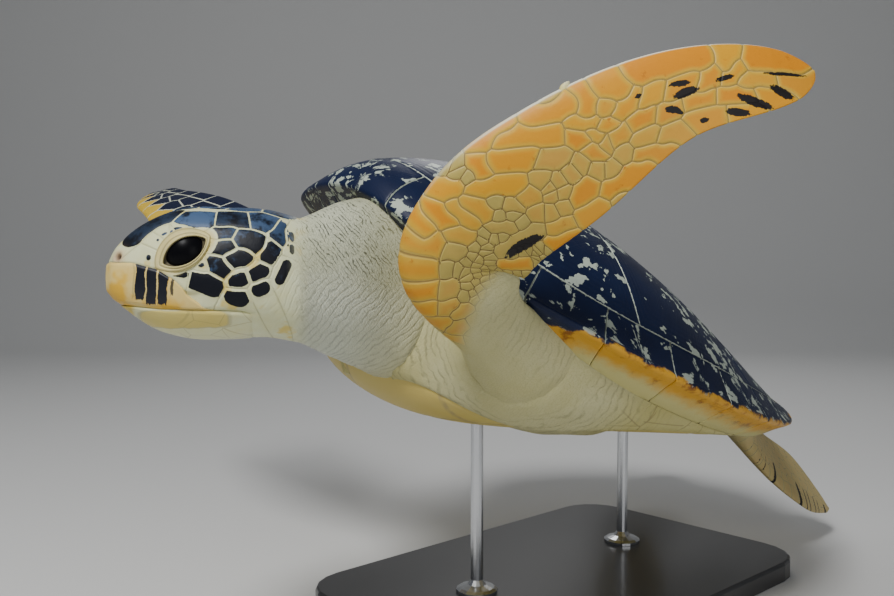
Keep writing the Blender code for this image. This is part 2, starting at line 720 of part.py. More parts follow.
def make_hind_flipper(side, mirror, body, around):
    path = np.array(HIND_PATH) * (mirror, 1, 1)
    leading = np.array(HIND_LEADING) * (mirror, 1, 1)
    rings = limb_rings(path, leading, HIND_SIZES, tip_places(0, 1, HIND_RINGS), HIND_CORNERS)
    cut(solid("hind_flipper_" + side, stack(rings), "flipper", body), around)


def tail():
    leading = ((1.0, 0.0, 0.0),) * 3
    sizes = (TAIL_PLACES, TAIL_WIDTH, TAIL_WIDTH)
    return stack(limb_rings(TAIL_PATH, leading, sizes, np.linspace(0, 1, TAIL_RINGS), TAIL_CORNERS, 0.0))


# ---------------------------------------------------------------- stand


def rounded_plate(size, corner, inset, height):
    """One level of the base: a rectangle with round corners, drawn in by inset."""
    corner_turns = np.linspace(0, math.pi / 2, BASE_CORNER_STEPS)
    points = []
    for quarter, (right, back) in enumerate(((1, 1), (-1, 1), (-1, -1), (1, -1))):
        turn = corner_turns + quarter * math.pi / 2
        x = right * (size[0] / 2 - corner) + (corner - inset) * np.cos(turn)
        y = back * (size[1] / 2 - corner) + (corner - inset) * np.sin(turn)
        points.append(np.stack([x, y, np.full_like(x, height)], 1))
    return np.concatenate(points)


def stand_base():
    return stack([rounded_plate(BASE_SIZE, BASE_CORNER, inset, height) for inset, height in BASE_LEVELS])


def stand_rod(place):
    """A turned rod with a foot flange, from the top of the base up into the body."""
    foot = BASE_LEVELS[-1][1] + GAP
    turn = np.linspace(0, 2 * math.pi, ROD_CORNERS, endpoint=False)
    profile = [(radius, foot + height) for radius, height in ROD_FOOT] + [(ROD_RADIUS, ROD_TOP)]
    rings = [np.stack([place[0] + radius * np.cos(turn), place[1] + radius * np.sin(turn),
                       np.full_like(turn, height)], 1) for radius, height in profile]
    return stack(rings)


# ---------------------------------------------------------------- the whole


def make_shell(body):
    """The plates of the dome, the ring of plates round the rim, the trunk and the belly plate."""
    plates = plate_outlines()
    for name, edge in plates.items():
        solid(name, scute(edge), "scute", body)
    rim = {"nuchal": solid("nuchal", rim_plate(-NUCHAL_HALF_ANGLE, NUCHAL_HALF_ANGLE), "scute", body)}
    for side, mirror in (("left", 1), ("right", -1)):
        for place in range(MARGINALS):
            ends = [mirror * ring_angle(1 + STEPS_PER_MARGINAL * (place + end)) for end in (0, 1)]
            name = f"marginal_{side}_{place + 1}"
            rim[name] = solid(name, rim_plate(min(ends), max(ends)), "scute", body)
    return rim, solid("trunk", trunk(plates), "skin", body), solid("plastron", plastron(), "plastron", body)


def main():
    clear_scene()
    body = bpy.data.objects.new("turtle", None)
    bpy.context.scene.collection.objects.link(body)
    body.matrix_world = (Matrix.Translation((0, 0, SHELL_HEIGHT)) @ Matrix.Rotation(-NOSE_UP, 4, "X")
                         @ Matrix.Rotation(BANK_LEFT, 4, "Y"))
    rim, trunk_piece, plastron_piece = make_shell(body)
    core = [trunk_piece, plastron_piece]

    def rim_plates(side, first, last):
        return [rim[f"marginal_{side}_{place}"] for place in range(first, last + 1)]

    head = make_head(body)
    neck_piece = solid("neck", neck(), "skin", body)
    front_rim = [rim["nuchal"]] + rim_plates("left", 1, 3) + rim_plates("right", 1, 3)
    cut(neck_piece, core + front_rim + [head])
    for side, path, leading in (("left", NEAR_ARM, NEAR_LEADING), ("right", FAR_ARM, FAR_LEADING)):
        make_arm(side, path, leading, body, core + rim_plates(side, 1, 6) + [neck_piece])
    for side, mirror in (("left", 1), ("right", -1)):
        make_hind_flipper(side, mirror, body, core + rim_plates(side, 9, 12))
    tail_piece = solid("tail", tail(), "skin", body)
    cut(tail_piece, core + rim_plates("left", 11, 12) + rim_plates("right", 11, 12))

    solid("stand_base", stand_base(), "base")
    for name, place in ROD_PLACES.items():
        rod = solid("stand_rod_" + name, stand_rod(place), "rod")
        cut(rod, core)


main()
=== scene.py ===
"""Looks of a green sea turtle in mid stroke, held on a display stand.

Lengths are metres. The body is worked out level, in a frame of its own: nose along -Y, left side on
+X, up +Z, origin in the middle of the shell. to_row then tips it nose up, banks it and lifts it.
"""
import functools
import math
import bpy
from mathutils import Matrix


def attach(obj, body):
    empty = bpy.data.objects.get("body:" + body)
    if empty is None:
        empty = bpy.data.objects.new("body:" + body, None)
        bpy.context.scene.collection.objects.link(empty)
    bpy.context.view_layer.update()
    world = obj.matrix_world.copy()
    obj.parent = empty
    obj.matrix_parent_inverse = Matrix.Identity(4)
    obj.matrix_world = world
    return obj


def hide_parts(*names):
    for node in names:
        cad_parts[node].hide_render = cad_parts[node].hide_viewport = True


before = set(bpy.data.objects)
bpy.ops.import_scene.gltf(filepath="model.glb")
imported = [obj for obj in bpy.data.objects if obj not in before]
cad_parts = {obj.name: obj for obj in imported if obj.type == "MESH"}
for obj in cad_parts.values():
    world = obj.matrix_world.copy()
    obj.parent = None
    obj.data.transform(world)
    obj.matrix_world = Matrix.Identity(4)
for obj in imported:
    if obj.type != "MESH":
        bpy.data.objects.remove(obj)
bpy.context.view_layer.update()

from types import SimpleNamespace

import bpy
import numpy as np
from mathutils import Matrix

# ---------------------------------------------------------------- sizes shared with the solids

NOSE_UP = math.radians(12)
BANK_LEFT = math.radians(15)
SHELL_HEIGHT = 0.28
# The gap between neighbours, and how much of it dome plates, the rim's inner edge and rim plates' sides give
GAP = 0.0003
SCUTE_INSET = 1.4
RIM_INSET = 1.5
RIM_TRIM = 0.7

SHELL_LENGTH = 0.60
SHELL_HALF_WIDTH = 0.235
WIDER_FRONT = 0.13
RIM_RISE = 0.03
RIM_SADDLE = 0.012
NUCHAL_LIFT = 0.02
NUCHAL_SPREAD = 0.35
DOME_RISE = 0.071
DOME_ROUND = 2.7
DOME_EDGE = 1.02
DOME_FRONT = 0.3
DOME_SHOULDER = 1.5
DOME_FORWARD = 0.97

SCUTE_THICKNESS = 0.004
SPINE_SEAMS = ((0.50, 0.15), (0.14, 0.14), (-0.20, 0.13), (-0.55, 0.10))
SPINE_CORNERS = ((0.34, 0.27), (-0.02, 0.26), (-0.37, 0.22))
RING_INNER = 0.89
RING_DEPTH = 0.024
RING_AT_SIDES = 0.1
RING_IN_FRONT = 0.3
NUCHAL_HALF_ANGLE = math.radians(9)
MARGINALS = 12
COSTAL_SEAM_STEPS = (1, 7, 12, 17, 21)
STEPS_PER_MARGINAL = 2
SIDE_STEPS = MARGINALS * STEPS_PER_MARGINAL

BELLY_DEPTH = 0.052
BELLY_FORWARD = 1.3
BELLY_BOW = 0.74
# The exponents of the belly's section, across and down: at the sides, and what they gain in front and behind
BELLY_ACROSS = (0.8, -0.3, 0.1)
BELLY_DOWN = (0.8, -0.2, 0.3)
PLASTRON_THICKNESS = 0.005
PLASTRON_EDGE = math.radians(14)
PLASTRON_NOTCH = math.radians(14)

HEAD_CENTRE = np.array((-0.006, -0.405, -0.032))
HEAD_FORWARD = np.array((-0.483, -0.822, -0.301))
HEAD_UP = np.array((-0.292, -0.173, 0.941))
HEAD_STATIONS = (-0.072, -0.050, -0.020, 0.010, 0.035, 0.050, 0.060, 0.065)
HEAD_TOP = (0.0370, 0.0425, 0.0437, 0.0430, 0.0335, 0.0228, 0.0122, 0.0025)
HEAD_BOTTOM = (-0.0560, -0.0520, -0.0530, -0.0515, -0.0430, -0.0325, -0.0240, -0.0180)
HEAD_HALF_WIDTH = (0.0400, 0.0455, 0.0455, 0.0400, 0.0315, 0.0240, 0.0165, 0.0070)
HEAD_CROWDING = 0.9
# A section of the head or the neck: how far down its widest line is, and the exponents of its curves
WIDEST_LINE = 0.52
SECTION_ACROSS = 0.85
SECTION_RISE = 0.88
EYE_RADIUS = 0.0175
EYE_PLACE = (0.0060, 0.0262, 0.0095)
MOUTH_LINE = ((0.080, -0.0245), (0.052, -0.0276), (0.025, -0.0302), (-0.002, -0.0308))
BEAK_TOP = ((0.006, -0.0180), (0.0145, -0.0095), (0.0265, -0.0018), (0.044, 0.0030), (0.080, 0.0050))
JAW_HINGE = ((-0.030, -0.0318), (-0.044, -0.0345))

# The neck at its start, at a place along it and at its end: how wide, and how far above and below its path
NECK_PLACES = (0, 0.45, 1)
NECK_HALF_WIDTH = (0.0400, 0.0530, 0.0850)
NECK_OVER = (0.0405, 0.0665, 0.0570)
NECK_UNDER = (0.0525, 0.0680, 0.0700)
NECK_START_DROP = 0.0035
NECK_PATH = ((0.020, -0.285, -0.010), (0.0, -0.170, -0.005))
NECK_SIDES = ((0.93, -0.25, 0.1), (1.0, 0.0, 0.0))
NECK_UPS = ((-0.2, -0.1, 0.95), (0.0, 0.0, 1.0))

NEAR_ARM = ((0.128, -0.118, -0.032), (0.139, -0.186, -0.021), (0.144, -0.244, -0.002), (0.147, -0.280, 0.015),
            (0.147, -0.299, 0.037), (0.157, -0.300, 0.066), (0.188, -0.281, 0.121), (0.225, -0.239, 0.188),
            (0.254, -0.181, 0.2245), (0.263, -0.153, 0.237))
FAR_ARM = ((-0.080, -0.140, -0.045), (-0.125, -0.180, -0.048), (-0.165, -0.212, -0.047),
           (-0.215, -0.232, -0.043), (-0.290, -0.246, -0.036), (-0.380, -0.252, -0.034),
           (-0.450, -0.243, -0.038), (-0.516, -0.222, -0.040))
NEAR_LEADING = ((-0.25, -0.55, -0.80), (-0.66, -0.73, -0.13), (-0.66, -0.66, 0.36))
FAR_LEADING = ((0.10, -0.75, -0.65), (0.25, -0.73, -0.63), (0.25, -0.78, -0.55))
ARM_SIZES = ((0.0, 0.13, 0.24, 0.31, 0.40, 0.50, 0.61, 0.78, 0.93, 1.0),
             (0.100, 0.080, 0.060, 0.064, 0.086, 0.092, 0.087, 0.061, 0.045, 0.026),
             (0.070, 0.060, 0.052, 0.046, 0.038, 0.030, 0.022, 0.014, 0.009, 0.003))
CLAW_AT = 0.665
CLAW_LENGTH = 0.006
HIND_PATH = ((0.060, 0.175, -0.010), (0.080, 0.228, -0.046), (0.106, 0.293, -0.086),
             (0.127, 0.357, -0.108), (0.144, 0.416, -0.131))
HIND_LEADING = ((0.56, -0.75, -0.35),) * 3
HIND_SIZES = ((0.0, 0.22, 0.48, 0.74, 1.0), (0.066, 0.068, 0.078, 0.088, 0.016),
              (0.050, 0.042, 0.020, 0.010, 0.003))
TAIL_PATH = ((0.0, 0.180, -0.020), (0.0, 0.262, -0.044), (0.0, 0.330, -0.056))
TAIL_SIZES = ((0.0, 0.5, 1.0), (0.056, 0.038, 0.010), (0.056, 0.038, 0.010))
# Where a limb's section has become a foil, and how sharp its trailing edge is there
FOIL_FROM = 0.4
FOIL = 0.42

BODY_TURN = np.array(Matrix.Rotation(-NOSE_UP, 3, "X") @ Matrix.Rotation(BANK_LEFT, 3, "Y"))


def to_row(points):
    """The body's own frame to the row frame: a turn, then a lift to the shell's height."""
    return points @ BODY_TURN.T + (0, 0, SHELL_HEIGHT)


# ---------------------------------------------------------------- array helpers


def through(knots, values, where):
    """A smooth curve through a few chosen values: cubic pieces that share their slopes at the knots."""
    knots = np.asarray(knots, float)
    values = np.asarray(values, float)
    where = np.asarray(where, float)
    slopes = np.gradient(values, knots, axis=0)
    cell = np.clip(np.searchsorted(knots, where, side="right") - 1, 0, len(knots) - 2)
    width = knots[cell + 1] - knots[cell]
    part = (where - knots[cell]) / width
    deeper = width.shape + (1,) * (values.ndim - 1)
    width, part = width.reshape(deeper), part.reshape(deeper)
    start, end = values[cell], values[cell + 1]
    bend = start * (1 + 2 * part) * (1 - part) ** 2 + end * part**2 * (3 - 2 * part)
    return bend + width * part * (1 - part) * (slopes[cell] * (1 - part) - slopes[cell + 1] * part)


def unit(vectors):
    """The vectors at a length of 1."""
    return vectors / np.maximum(np.linalg.norm(vectors, axis=-1, keepdims=True), 1e-12)


def full_turn(count):
    """Angles of a full turn in equal steps."""
    return np.linspace(0, 2 * math.pi, count, endpoint=False)


def ease(low, high, value):
    """0 below low, 1 above high and an S curve between them."""
    part = np.clip((value - low) / (high - low), 0, 1)
    return part * part * (3 - 2 * part)


LATTICE_SIDE = 32
LATTICE = np.random.default_rng(11).uniform(-1, 1, (LATTICE_SIDE,) * 3)


def noise(points, size):
    """Smooth noise from -1 to 1: random values on a lattice of this size, eased from knot to knot."""
    place = np.asarray(points, float) / size
    cell = np.floor(place).astype(int)
    part = place - cell
    part = part * part * (3 - 2 * part)
    total = np.zeros(place.shape[:-1])
    for corner in np.ndindex(2, 2, 2):
        share = np.prod(np.where(corner, part, 1 - part), axis=-1)
        x, y, z = np.moveaxis((cell + corner) % LATTICE_SIDE, -1, 0)
        total += share * LATTICE[x, y, z]
    return total


def grid_faces(rows, columns):
    """Quads between neighbouring rows of points, with the last column joined to the first."""
    row, column = np.meshgrid(np.arange(rows - 1), np.arange(columns), indexing="ij")
    after = (column + 1) % columns
    quads = [row * columns + column, row * columns + after,
             (row + 1) * columns + after, (row + 1) * columns + column]
    return np.stack(quads, -1).reshape(-1, 4)


def piece(name, points, faces, finish, values=None, replaces=(), corners=None):
    """A piece from points in the row frame and lists of faces.

    values holds one number or vector for each point, and corners one vector for each corner of each face.
    """
    mesh = bpy.data.meshes.new(name)
    polygons = [face for group in faces for face in group.tolist()]
    mesh.from_pydata(points.tolist(), [], polygons)
    mesh.polygons.foreach_set("use_smooth", np.ones(len(polygons), bool))
    for domain, stored in (("POINT", values), ("CORNER", corners)):
        for key, value in (stored or {}).items():
            kind, field = ("FLOAT_VECTOR", "vector") if value.ndim > 1 else ("FLOAT", "value")
            mesh.attributes.new(key, kind, domain).data.foreach_set(field, value.astype(np.float32).ravel())
    mesh.materials.append(finish)
    obj = bpy.data.objects.new(name, mesh)
    bpy.context.scene.collection.objects.link(obj)
    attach(obj, "root")
    if replaces:
        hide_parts(*replaces)


def tube(rings):
    """Points and faces of a closed tube from rings of equal count, with a fan over each end.

    The faces look outwards: where the tube's signed volume is negative, they are turned round.
    """
    levels, count = rings.shape[:2]
    points = np.concatenate([rings.reshape(-1, 3), rings[0].mean(0)[None], rings[-1].mean(0)[None]])
    here = np.arange(count)
    after = (here + 1) % count
    last = (levels - 1) * count
    first_fan = np.stack([after, here, np.full(count, levels * count)], 1)
    last_fan = np.stack([last + here, last + after, np.full(count, levels * count + 1)], 1)
    faces = [grid_faces(levels, count), first_fan, last_fan]
    if turns_in(points, faces):
        faces = [group[:, ::-1] for group in faces]
    return points, faces


def turns_in(points, faces):
    """True where the faces of a closed piece look inwards: its signed volume is negative."""
    total = 0.0
    for group in faces:
        first = points[group[:, 0]]
        for corner in range(1, group.shape[1] - 1):
            second, third = points[group[:, corner]], points[group[:, corner + 1]]
            total += (first * np.cross(second, third)).sum()
    return total < 0


def outward(rings):
    """Unit normals of a grid of points, away from the middle of each ring.

    A normal = the cross product of the differences to its neighbours round the ring and along the tube.
    """
    round_ = np.roll(rings, -1, axis=1) - np.roll(rings, 1, axis=1)
    normals = unit(np.cross(round_, np.gradient(rings, axis=0)))
    away = rings - rings.mean(1, keepdims=True)
    return normals * np.sign((normals * away).sum((0, 1, 2)))


def nearest_seam(places, seams):
    """For each place in a plane, its distance to the nearest of these line pieces (start, end)."""
    best = np.full(places.shape[:-1], np.inf)
    for start, end in seams:
        line = np.subtract(end, start)
        part = np.clip(((places - start) @ line) / (line @ line), 0, 1)
        best = np.minimum(best, np.linalg.norm(places - start - part[..., None] * line, axis=-1))
    return best


def nearest_on(places, starts, ends):
    """The nearest point to each place on its line piece, from start to end."""
    line = ends - starts
    share = ((places - starts) * line).sum(-1) / np.maximum((line**2).sum(-1), 1e-12)
    return starts + np.clip(share, 0, 1)[..., None] * line


# How many places are set against all the scales at once
BATCH = 2000


def cell_borders(places, starts, ends, reaches):
    """Cells round line pieces: how far each place lies inside its cell, and inside its piece's reach.

    With d1 and d2 the distances to two pieces and n1 and n2 the nearest points of them, the distance
    to the border between their cells is (d2^2 - d1^2) / (2 |n2 - n1|).
    """
    shape = places.shape[:-1]
    places = places.reshape(-1, 3)
    edge, within = np.empty(len(places)), np.empty(len(places))
    for begin in range(0, len(places), BATCH):
        part = slice(begin, begin + BATCH)
        near = nearest_on(places[part, None], starts, ends)
        square = ((near - places[part, None]) ** 2).sum(-1)
        own = square.argmin(1)
        rows = np.arange(len(own))
        least = square[rows, own]
        between = np.linalg.norm(near - near[rows, own][:, None], axis=-1)
        border = (square - least[:, None]) / (2 * np.maximum(between, 1e-9))
        border[rows, own] = np.inf
        within[part] = reaches[own] - np.sqrt(least)
        edge[part] = np.minimum(border.min(1), within[part])
    return edge.reshape(shape), within.reshape(shape)


def corner_cells(corners, starts, ends, looks):
    """What each corner of each face knows of the cells, so that their borders stay sharp between points.

    Piece a is the nearest to the face's middle, b the next and c the third. A corner gets its signed
    distances to the borders a-b and a-c, by the formula of cell_borders, and the looks of a and b.
    """
    middle = corners.mean(1)
    seam, first, second = (np.zeros(corners.shape) for _ in range(3))
    for begin in range(0, len(corners), BATCH):
        part = slice(begin, begin + BATCH)
        square = ((nearest_on(middle[part, None], starts, ends) - middle[part, None]) ** 2).sum(-1)
        own, *others = square.argsort(1)[:, :3].T
        for corner in range(corners.shape[1]):
            here = corners[part, corner]
            ours, *theirs = (nearest_on(here, starts[cell], ends[cell]) for cell in (own, *others))
            for column, other in enumerate(theirs):
                apart = np.maximum(np.linalg.norm(other - ours, axis=1), 1e-9)
                further = ((other - here) ** 2).sum(1) - ((ours - here) ** 2).sum(1)
                seam[part, corner, column] = further / (2 * apart)
        first[part], second[part] = looks[own][:, None], looks[others[0]][:, None]
    return {"seam": seam, "first": first, "second": second}


def looks_of(count, amber, pale):
    """A tone of its own for each cell, with how amber it is and how wide its pale border is.

    The tone is the fraction of a sine times a large number, which jumps about from cell to cell.
    """
    tone = (np.sin(np.arange(count) * 12.9898) * 43758.5453) % 1.0
    return np.stack([tone, np.broadcast_to(amber, count), np.broadcast_to(pale, count)], -1)


# ---------------------------------------------------------------- finishes


def finish_of(name, roughness=0.5, coat=0.0, metallic=0.0, colour=None, shine=0.5):
    """A Principled material, its node tree and its shader."""
    made = bpy.data.materials.new(name)
    made.use_nodes = True
    shader = made.node_tree.nodes["Principled BSDF"]
    shader.inputs["Roughness"].default_value = roughness
    shader.inputs["Coat Weight"].default_value = coat
    shader.inputs["Coat Roughness"].default_value = 0.12
    shader.inputs["Specular IOR Level"].default_value = shine
    shader.inputs["Metallic"].default_value = metallic
    if colour:
        shader.inputs["Base Color"].default_value = (*colour, 1)
    return made, made.node_tree, shader


def join(tree, socket, value):
    """Links a socket's output, or sets a constant."""
    if isinstance(value, bpy.types.NodeSocket):
        tree.links.new(value, socket)
    elif isinstance(value, tuple) and len(value) == 3 and socket.type == "RGBA":
        socket.default_value = (*value, 1)
    else:
        socket.default_value = value


def maths(tree, operation, *values):
    """One step of arithmetic between sockets or numbers."""
    node = tree.nodes.new("ShaderNodeMath")
    node.operation = operation
    for socket, value in zip(node.inputs, values):
        join(tree, socket, value)
    return node.outputs[0]


def parts_of(tree, vector):
    """The three numbers of a vector, one socket each."""
    split = tree.nodes.new("ShaderNodeSeparateXYZ")
    join(tree, split.inputs[0], vector)
    return split.outputs


def plus(tree, *values):
    """The sum of the values."""
    return functools.reduce(lambda total, value: maths(tree, "ADD", total, value), values)


def product(tree, *values):
    """All the values multiplied."""
    return functools.reduce(lambda total, value: maths(tree, "MULTIPLY", total, value), values)


def blend(tree, share, first, second):
    """The first colour where the share is 0, and the second where it is 1."""
    node = tree.nodes.new("ShaderNodeMix")
    node.data_type = "RGBA"
    join(tree, node.inputs["Factor"], share)
    join(tree, node.inputs["A"], first)
    join(tree, node.inputs["B"], second)
    return next(socket for socket in node.outputs if socket.type == "RGBA")


def rise(tree, value, low, high):
    """An S curve from 0 at low to 1 at high. Low may be above high."""
    node = tree.nodes.new("ShaderNodeMapRange")
    node.interpolation_type = "SMOOTHSTEP"
    turned = low > high
    join(tree, node.inputs["Value"], value)
    node.inputs["From Min"].default_value = min(low, high)
    node.inputs["From Max"].default_value = max(low, high)
    node.inputs["To Min"].default_value = float(turned)
    node.inputs["To Max"].default_value = float(not turned)
    return node.outputs["Result"]


def named(tree, name, vector=False):
    """A value stored with the piece's points."""
    node = tree.nodes.new("ShaderNodeAttribute")
    node.attribute_name = name
    return node.outputs["Vector" if vector else "Fac"]


def stretched(tree, vector, scale):
    """The vector times a factor of its own for each coordinate."""
    node = tree.nodes.new("ShaderNodeVectorMath")
    node.operation = "MULTIPLY"
    join(tree, node.inputs[0], vector)
    node.inputs[1].default_value = scale
    return node.outputs[0]


def turned(tree, vector, angle):
    """The vector turned about its second axis."""
    node = tree.nodes.new("ShaderNodeVectorRotate")
    node.rotation_type = "Y_AXIS"
    join(tree, node.inputs["Vector"], vector)
    node.inputs["Angle"].default_value = angle
    return node.outputs[0]


def place_of(tree):
    """Where a point lies in the piece's own coordinates, in metres."""
    return tree.nodes.new("ShaderNodeTexCoord").outputs["Object"]


def cloud(tree, vector, scale, detail=2.0, roughness=0.5):
    """Soft noise round 0.5, with scale lumps to the metre."""
    node = tree.nodes.new("ShaderNodeTexNoise")
    join(tree, node.inputs["Vector"], vector)
    node.inputs["Scale"].default_value = scale
    node.inputs["Detail"].default_value = detail
    node.inputs["Roughness"].default_value = roughness
    return node.outputs["Fac"]


def cells(tree, vector):
    """How far a point is from the edge of its cell, in cells that are about one unit wide."""
    node = tree.nodes.new("ShaderNodeTexVoronoi")
    node.feature = "DISTANCE_TO_EDGE"
    join(tree, node.inputs["Vector"], vector)
    node.inputs["Scale"].default_value = 1.0
    return node.outputs["Distance"]


def surface(tree, shader, colour, height, distance, strength):
    """Gives the shader its colour, and bumps that are distance high where height changes by 1."""
    join(tree, shader.inputs["Base Color"], colour)
    node = tree.nodes.new("ShaderNodeBump")
    node.inputs["Strength"].default_value = strength
    node.inputs["Distance"].default_value = distance
    join(tree, node.inputs["Height"], height)
    tree.links.new(node.outputs["Normal"], shader.inputs["Normal"])


# ---------------------------------------------------------------- shell


def plan(u, v):
    """The shell's outline seen from above: an egg, wider in front."""
    return SHELL_HALF_WIDTH * v * (1 + WIDER_FRONT * u), -0.5 * SHELL_LENGTH * u


def shell_top(uv):
    """The top of the shell over a point of its plan: a rising rim and a dome fullest in front."""
    u, v = uv[..., 0], uv[..., 1]
    radius = np.minimum(np.hypot(u, v), 1)
    x, y = plan(u, v)
    lift = NUCHAL_LIFT * np.exp(-((np.arctan2(v, u) / NUCHAL_SPREAD) ** 2)) * radius**6
    ahead = np.maximum(u, 0)
    edge = DOME_EDGE - DOME_FRONT * ahead**4 + DOME_SHOULDER * (ahead * v) ** 2
    dome = DOME_RISE * (1 - radius**DOME_ROUND) ** edge * (1 + DOME_FORWARD * u)
    return np.stack([x, y, RIM_RISE * u + RIM_SADDLE * (u * u - v * v) + lift + dome], -1)


def shell_below(uv, depth):
    """The same place, moved down along the dome's normal."""
    step = 1e-4
    along_u = shell_top(uv + (step, 0)) - shell_top(uv - (step, 0))
    along_v = shell_top(uv + (0, step)) - shell_top(uv - (0, step))
    normal = unit(np.cross(along_v, along_u))
    normal = normal * np.sign(normal[..., 2:])
    return shell_top(uv) - np.asarray(depth)[..., None] * normal


def ring_angle(step):
    """The angle of a step round the rim: 0 in front, counted to the left, and negative to the right."""
    if step == 0:
        return 0.0
    size = (math.pi - NUCHAL_HALF_ANGLE) / SIDE_STEPS
    return math.copysign(NUCHAL_HALF_ANGLE + size * (abs(step) - 1), step)


def on_ring(angle):
    """Points of the plan on the inner edge of the ring of plates."""
    return RING_INNER * np.stack([np.cos(angle), np.sin(angle)], -1)


SIDE_SPACING = 0.012


def plate_side(here, after):
    """One side of a plate without its end: along the ring between two of its steps, and else straight."""
    start, end = (on_ring(ring_angle(corner)) if isinstance(corner, int) else np.array(corner)
                  for corner in (here, after))
    count = max(2, int(np.linalg.norm(end - start) / SIDE_SPACING))
    part = np.arange(count) / count
    if isinstance(here, int) and isinstance(after, int):
        return on_ring(ring_angle(here) + (ring_angle(after) - ring_angle(here)) * part)
    return start + (end - start) * part[:, None]


def outline(corners):
    """A plate's outline, from its corners."""
    return np.concatenate([plate_side(*ends) for ends in zip(corners, corners[1:] + corners[:1])])


def mirrored(corner):
    """The same corner on the other side of the shell."""
    return -corner if isinstance(corner, int) else (corner[0], -corner[1])


# Points round the tail for each step of the ring, and where each plate's growth starts: the first spine
# plate's, how far the next ones' lie ahead of their rear seams, the last one's and the rib plates'
POINTS_PER_STEP = 6
FIRST_GROWTH = (0.60, 0.0)
SPINE_GROWTH = 0.08
LAST_GROWTH = (-0.74, 0.0)
RIB_GROWTH = ((0.34, 0.45), (0.00, 0.42), (-0.34, 0.38), (-0.60, 0.30))


def plate_outlines():
    """Every plate of the dome by name: its outline in the plan and the middle of its growth."""
    front, *sides, rear = [step + 1 for step in COSTAL_SEAM_STEPS]
    seams, corners = SPINE_SEAMS, SPINE_CORNERS
    plates = {"vertebral_1": (outline([-front, front, seams[0], mirrored(seams[0])]), FIRST_GROWTH)}
    for place in range(3):
        left = [seams[place], corners[place], seams[place + 1]]
        right = [mirrored(corner) for corner in reversed(left)]
        growth = (seams[place + 1][0] + SPINE_GROWTH, 0.0)
        plates[f"vertebral_{place + 2}"] = (outline(left + right), growth)
    # The last spine plate reaches the ring on both sides of the tail
    start = ring_angle(rear)
    step = (math.pi - NUCHAL_HALF_ANGLE) / SIDE_STEPS
    count = int((2 * math.pi - 2 * start) / step * POINTS_PER_STEP)
    round_tail = on_ring(np.linspace(start, 2 * math.pi - start, count))
    ends = [seams[3], round_tail[0], round_tail[-1], mirrored(seams[3])]
    left, right, across = (plate_side(ends[first], ends[last]) for first, last in ((0, 1), (2, 3), (3, 0)))
    plates["vertebral_5"] = (np.concatenate([left, round_tail[:-1], right, across]), LAST_GROWTH)
    costals = ([front, sides[0], corners[0], seams[0]],
               [sides[0], sides[1], corners[1], seams[1], corners[0]],
               [sides[1], sides[2], corners[2], seams[2], corners[1]],
               [sides[2], rear, seams[3], corners[2]])
    for place, (corner_list, growth) in enumerate(zip(costals, RIB_GROWTH), 1):
        left = outline(corner_list)
        plates[f"costal_left_{place}"] = (left, growth)
        plates[f"costal_right_{place}"] = (left * (1, -1), mirrored(growth))
    return plates


PLATE_BEVEL = 0.0016
PLATE_SINK = 0.0011
PLATE_ROWS = 34
# The growth rings: their height and width, how fast they fade, and where beside the seam they start
GROWTH_RIPPLE = 0.00012
GROWTH_WIDTH = 0.0045
GROWTH_FADE = 0.03
GROWTH_START = (0.002, 0.006)
NOT_UNDER = -0.1


def bevel(seam):
    """How far a plate's rounded edge sinks at these distances from its seam: a quarter of an arc."""
    near = np.clip(1 - seam / PLATE_BEVEL, 0, 1)
    return PLATE_SINK * (1 - np.sqrt(1 - near**2))


def growth_ray(away, offset):
    """What the streaks follow: the direction from the middle of growth, and the distance with an offset."""
    return np.concatenate([unit(away), np.linalg.norm(away, axis=1, keepdims=True) * 10 + offset], 1)


def dome_plate(name, edge, growth, finish, number):
    """A plate of the dome on a polar grid, from its middle out to its outline and down its side.

    Height = the dome, less the bevel beside the seam, plus a ripple that repeats with the distance
    from the seam, like growth rings.
    """
    middle = edge.mean(0)
    edge = edge + (SCUTE_INSET * GAP / SHELL_HALF_WIDTH) * unit(middle - edge)
    part = 1 - (1 - np.linspace(0.12, 1, PLATE_ROWS)) ** 2
    uv = middle + part[:, None, None] * (edge - middle)
    scale = np.array([0.5 * SHELL_LENGTH, SHELL_HALF_WIDTH])
    seams = list(zip(edge * scale, np.roll(edge, -1, axis=0) * scale))
    seam = nearest_seam(uv * scale, seams)
    seam[-1] = 0
    strength = np.exp(-seam / GROWTH_FADE) * ease(*GROWTH_START, seam)
    ripple = strength * np.cos(2 * math.pi * seam / GROWTH_WIDTH)
    side = np.repeat(edge[None], 2, 0)
    depth = np.outer((0.5, 1.0), np.full(len(edge), SCUTE_THICKNESS))
    points, faces = tube(np.concatenate([shell_below(uv, bevel(seam) - GROWTH_RIPPLE * ripple),
                                         shell_below(side, depth)]))
    flat = np.concatenate([uv.reshape(-1, 2), side.reshape(-1, 2), middle[None], middle[None]])
    values = {"edge": np.concatenate([seam.ravel(), np.zeros(2 * len(edge)), [seam.max(), 0.0]]),
              "ray": growth_ray((flat - growth) * scale, number * 3.0),
              "under": np.full(len(points), NOT_UNDER)}
    return piece("plate_" + name, to_row(points), faces, finish, values, (name,))


def ring_depth(angle):
    """How far the ring of plates reaches down at its inner edge: most in front, least behind."""
    return RING_DEPTH * (1 + RING_AT_SIDES * np.sin(angle) ** 2 + RING_IN_FRONT * np.cos(angle))


# The section of the rim: radii over its edge, then radius and share of its depth for the way back underneath
RIM_OVER = (0.905, 0.925, 0.945, 0.965, 0.985, 1.0)
RIM_UNDER = ((1.002, 0.09), (0.995, 0.17), (0.975, 0.32), (0.955, 0.48), (0.92, 0.80))
RIM_CORNERS = 44
RIM_ROWS = 30
# How far a rim plate's length runs for each radian, and where the middle of its growth lies in its section
RIM_LENGTH = 0.25
RIM_GROWTH_AT = 18
